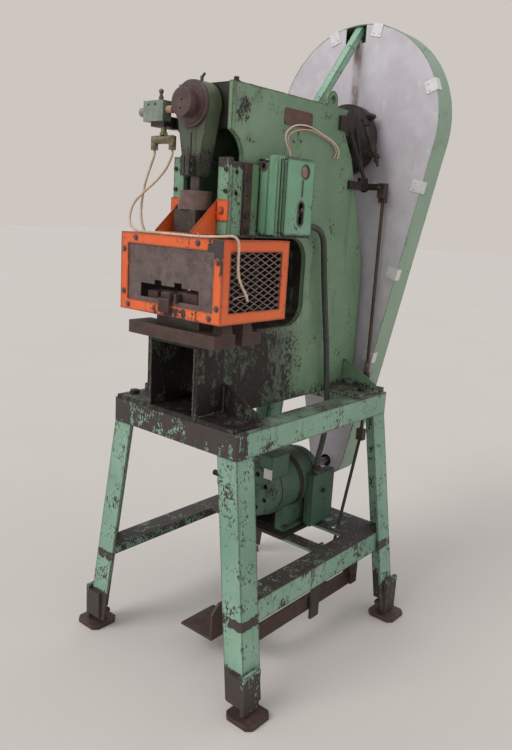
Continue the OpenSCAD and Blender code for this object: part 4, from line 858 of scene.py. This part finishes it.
def addRodFittings():
    for name, fitting in rodFittings.items():
        low, high = fitting["z"]
        piece = startRod(name, (*tripRodAt, low), (*tripRodAt, high), fitting["radius"], fitting["sides"])
        for way in (1, -1):
            pickFacing(piece, (0, 0, way))
            inset(*fittingEnd)
            bpy.ops.object.mode_set(mode="OBJECT")
        finishPiece(piece, "ringSteel", body="pull_rod", bevel=0.6)


# Motor trim: two bands, a bare plate, a nut on the terminal box and a knob bracket on the left side
motorTrim = {"axis": 427, "bandRadius": 92.2, "bandEdge": (3.0, -0.8),
             "lug": ((-146, 0, 372), (-84, 9, 486)), "lugTaper": 0.55, "lugStep": (6, -1.2),
             "knob": ((-139, 4, 430), (-163, 4, 430)), "knobRadius": 9, "knobCrown": (2.5, 2.0),
             "plate": ((50, -16, 478), (80.5, -14.2, 508)), "plateLip": (2.5, -0.4),
             "nut": ((112, 205, 400), (119, 205, 400)), "nutRadius": 8, "nutCrown": (1.8, 1.0)}
motorBands = {"motorStrap": {"y": (112, 132), "finish": "darkSteel"},
              "motorRib": {"y": (188, 196), "finish": "motorPaint"}}


def addMotorTrim():
    for name, plan in motorBands.items():
        start, end = ((0, y, motorTrim["axis"]) for y in plan["y"])
        band = startRod(name, start, end, motorTrim["bandRadius"], 72)
        for way in (1, -1):
            pickFacing(band, (0, way, 0))
            inset(*motorTrim["bandEdge"])
            bpy.ops.object.mode_set(mode="OBJECT")
        finishPiece(band, plan["finish"], bevel=0.8)
    lug = startBlock("sideLug", *motorTrim["lug"])
    pickFacing(lug, (-1, 0, 0))
    bpy.ops.transform.resize(value=(1, 1, motorTrim["lugTaper"]))
    pickFacing(lug, (0, -1, 0))
    inset(*motorTrim["lugStep"])
    finishPiece(lug, "darkSteel", bevel=1.6, segments=3)
    knob = startRod("sideKnob", *motorTrim["knob"], motorTrim["knobRadius"], 20)
    pickFacing(knob, (-1, 0, 0))
    inset(*motorTrim["knobCrown"])
    finishPiece(knob, "darkSteel", bevel=1.5, segments=3)
    plate = startBlock("motorPlate", *motorTrim["plate"])
    pickFacing(plate, (0, -1, 0))
    inset(*motorTrim["plateLip"])
    finishPiece(plate, "clipSteel", bevel=0.5)
    nut = startRod("terminalNut", *motorTrim["nut"], motorTrim["nutRadius"], 6)
    pickFacing(nut, (1, 0, 0))
    inset(*motorTrim["nutCrown"])
    finishPiece(nut, "darkSteel", bevel=0.5)


# Weld beads: a rod remeshed and roughened by a cloud pattern
welds = {
    "stripWeld": ((91, -198, 1178), (91, -198, 1334), 3.2),
    "footWeldFront": ((91, -340, 729), (91, -238, 729), 4.2),
    "footWeldRear": ((91, 200, 729), (91, 340, 729), 4.2),
    "ribWeldFront": ((92, -251, 730), (92, -251, 798), 3.4),
    "ribWeldRear": ((92, 301, 730), (92, 301, 798), 3.4),
    "topWeld": ((76, -250, 1521), (76, 205, 1521), 3.0),
    "jawWeld": ((78, -345, 900), (78, -345, 730), 3.2),
    "jawWeldLeft": ((-78, -345, 900), (-78, -345, 730), 3.2),
    "railWeldFront": ((272, -338, 284), (272, -338, 222), 3.6),
}
weldGrain = {"ripple": 0.007, "voxel": 0.0016, "strength": 0.0036, "middle": 0.55}


def addWelds():
    ripple = bpy.data.textures.new("weldRipple", "CLOUDS")
    ripple.noise_scale = weldGrain["ripple"]
    for name, (start, end, radius) in welds.items():
        bead = startRod(name, start, end, radius, 10)
        remesh = bead.modifiers.new("grain", "REMESH")
        remesh.mode = "VOXEL"
        remesh.voxel_size = weldGrain["voxel"]
        bpy.ops.object.modifier_apply(modifier="grain")
        rough = bead.modifiers.new("rough", "DISPLACE")
        rough.texture = ripple
        rough.strength = weldGrain["strength"]
        rough.mid_level = weldGrain["middle"]
        bpy.ops.object.modifier_apply(modifier="rough")
        finishPiece(bead, "weldSteel", bevel=0)


addCageBolts()
addTopBolt()
addNamePlate()
addBoxTrim()
addSheetLap()
print("plates and trim added")
addHoseTies()
addConduitNuts()
addDieBlocks()
addRodFittings()
addMotorTrim()
addWelds()
print("fittings and welds added")


# Floor, backdrop and lights
studioPlan = {"floorSize": 60, "floorDrop": 0.0005, "worldLight": 0.74, "backdrop": ink(205, 198, 193),
              "sunLight": 1.35, "sunAngle": 32, "sunWay": (0.22, 0.72, -0.66)}


def studio():
    bpy.ops.mesh.primitive_plane_add(size=studioPlan["floorSize"], location=(0, 0, -studioPlan["floorDrop"]))
    floor = bpy.context.object
    floor.name = "floor"
    floor.data.materials.append(paints["workshopFloor"])
    world = bpy.data.worlds.new("studio")
    bpy.context.scene.world = world
    world.use_nodes = True
    tree = world.node_tree
    light = tree.nodes["Background"]
    light.inputs[0].default_value = (1.0, 1.0, 1.0, 1)
    light.inputs[1].default_value = studioPlan["worldLight"]
    seen = tree.nodes.new("ShaderNodeBackground")
    seen.inputs[0].default_value = studioPlan["backdrop"]
    seen.inputs[1].default_value = 1.0
    ray = tree.nodes.new("ShaderNodeLightPath")
    mix = tree.nodes.new("ShaderNodeMixShader")
    tree.links.new(ray.outputs["Is Camera Ray"], mix.inputs[0])
    tree.links.new(light.outputs[0], mix.inputs[1])
    tree.links.new(seen.outputs[0], mix.inputs[2])
    tree.links.new(mix.outputs[0], tree.nodes["World Output"].inputs["Surface"])
    bpy.ops.object.light_add(type="SUN", location=(-1, -3, 3))
    sun = bpy.context.object
    sun.name = "softSun"
    sun.data.energy = studioPlan["sunLight"]
    sun.data.angle = math.radians(studioPlan["sunAngle"])
    sun.rotation_euler = Vector(studioPlan["sunWay"]).to_track_quat("-Z", "Y").to_euler()


studio()
bpy.context.scene.view_settings.view_transform = "Standard"
print("studio lit")
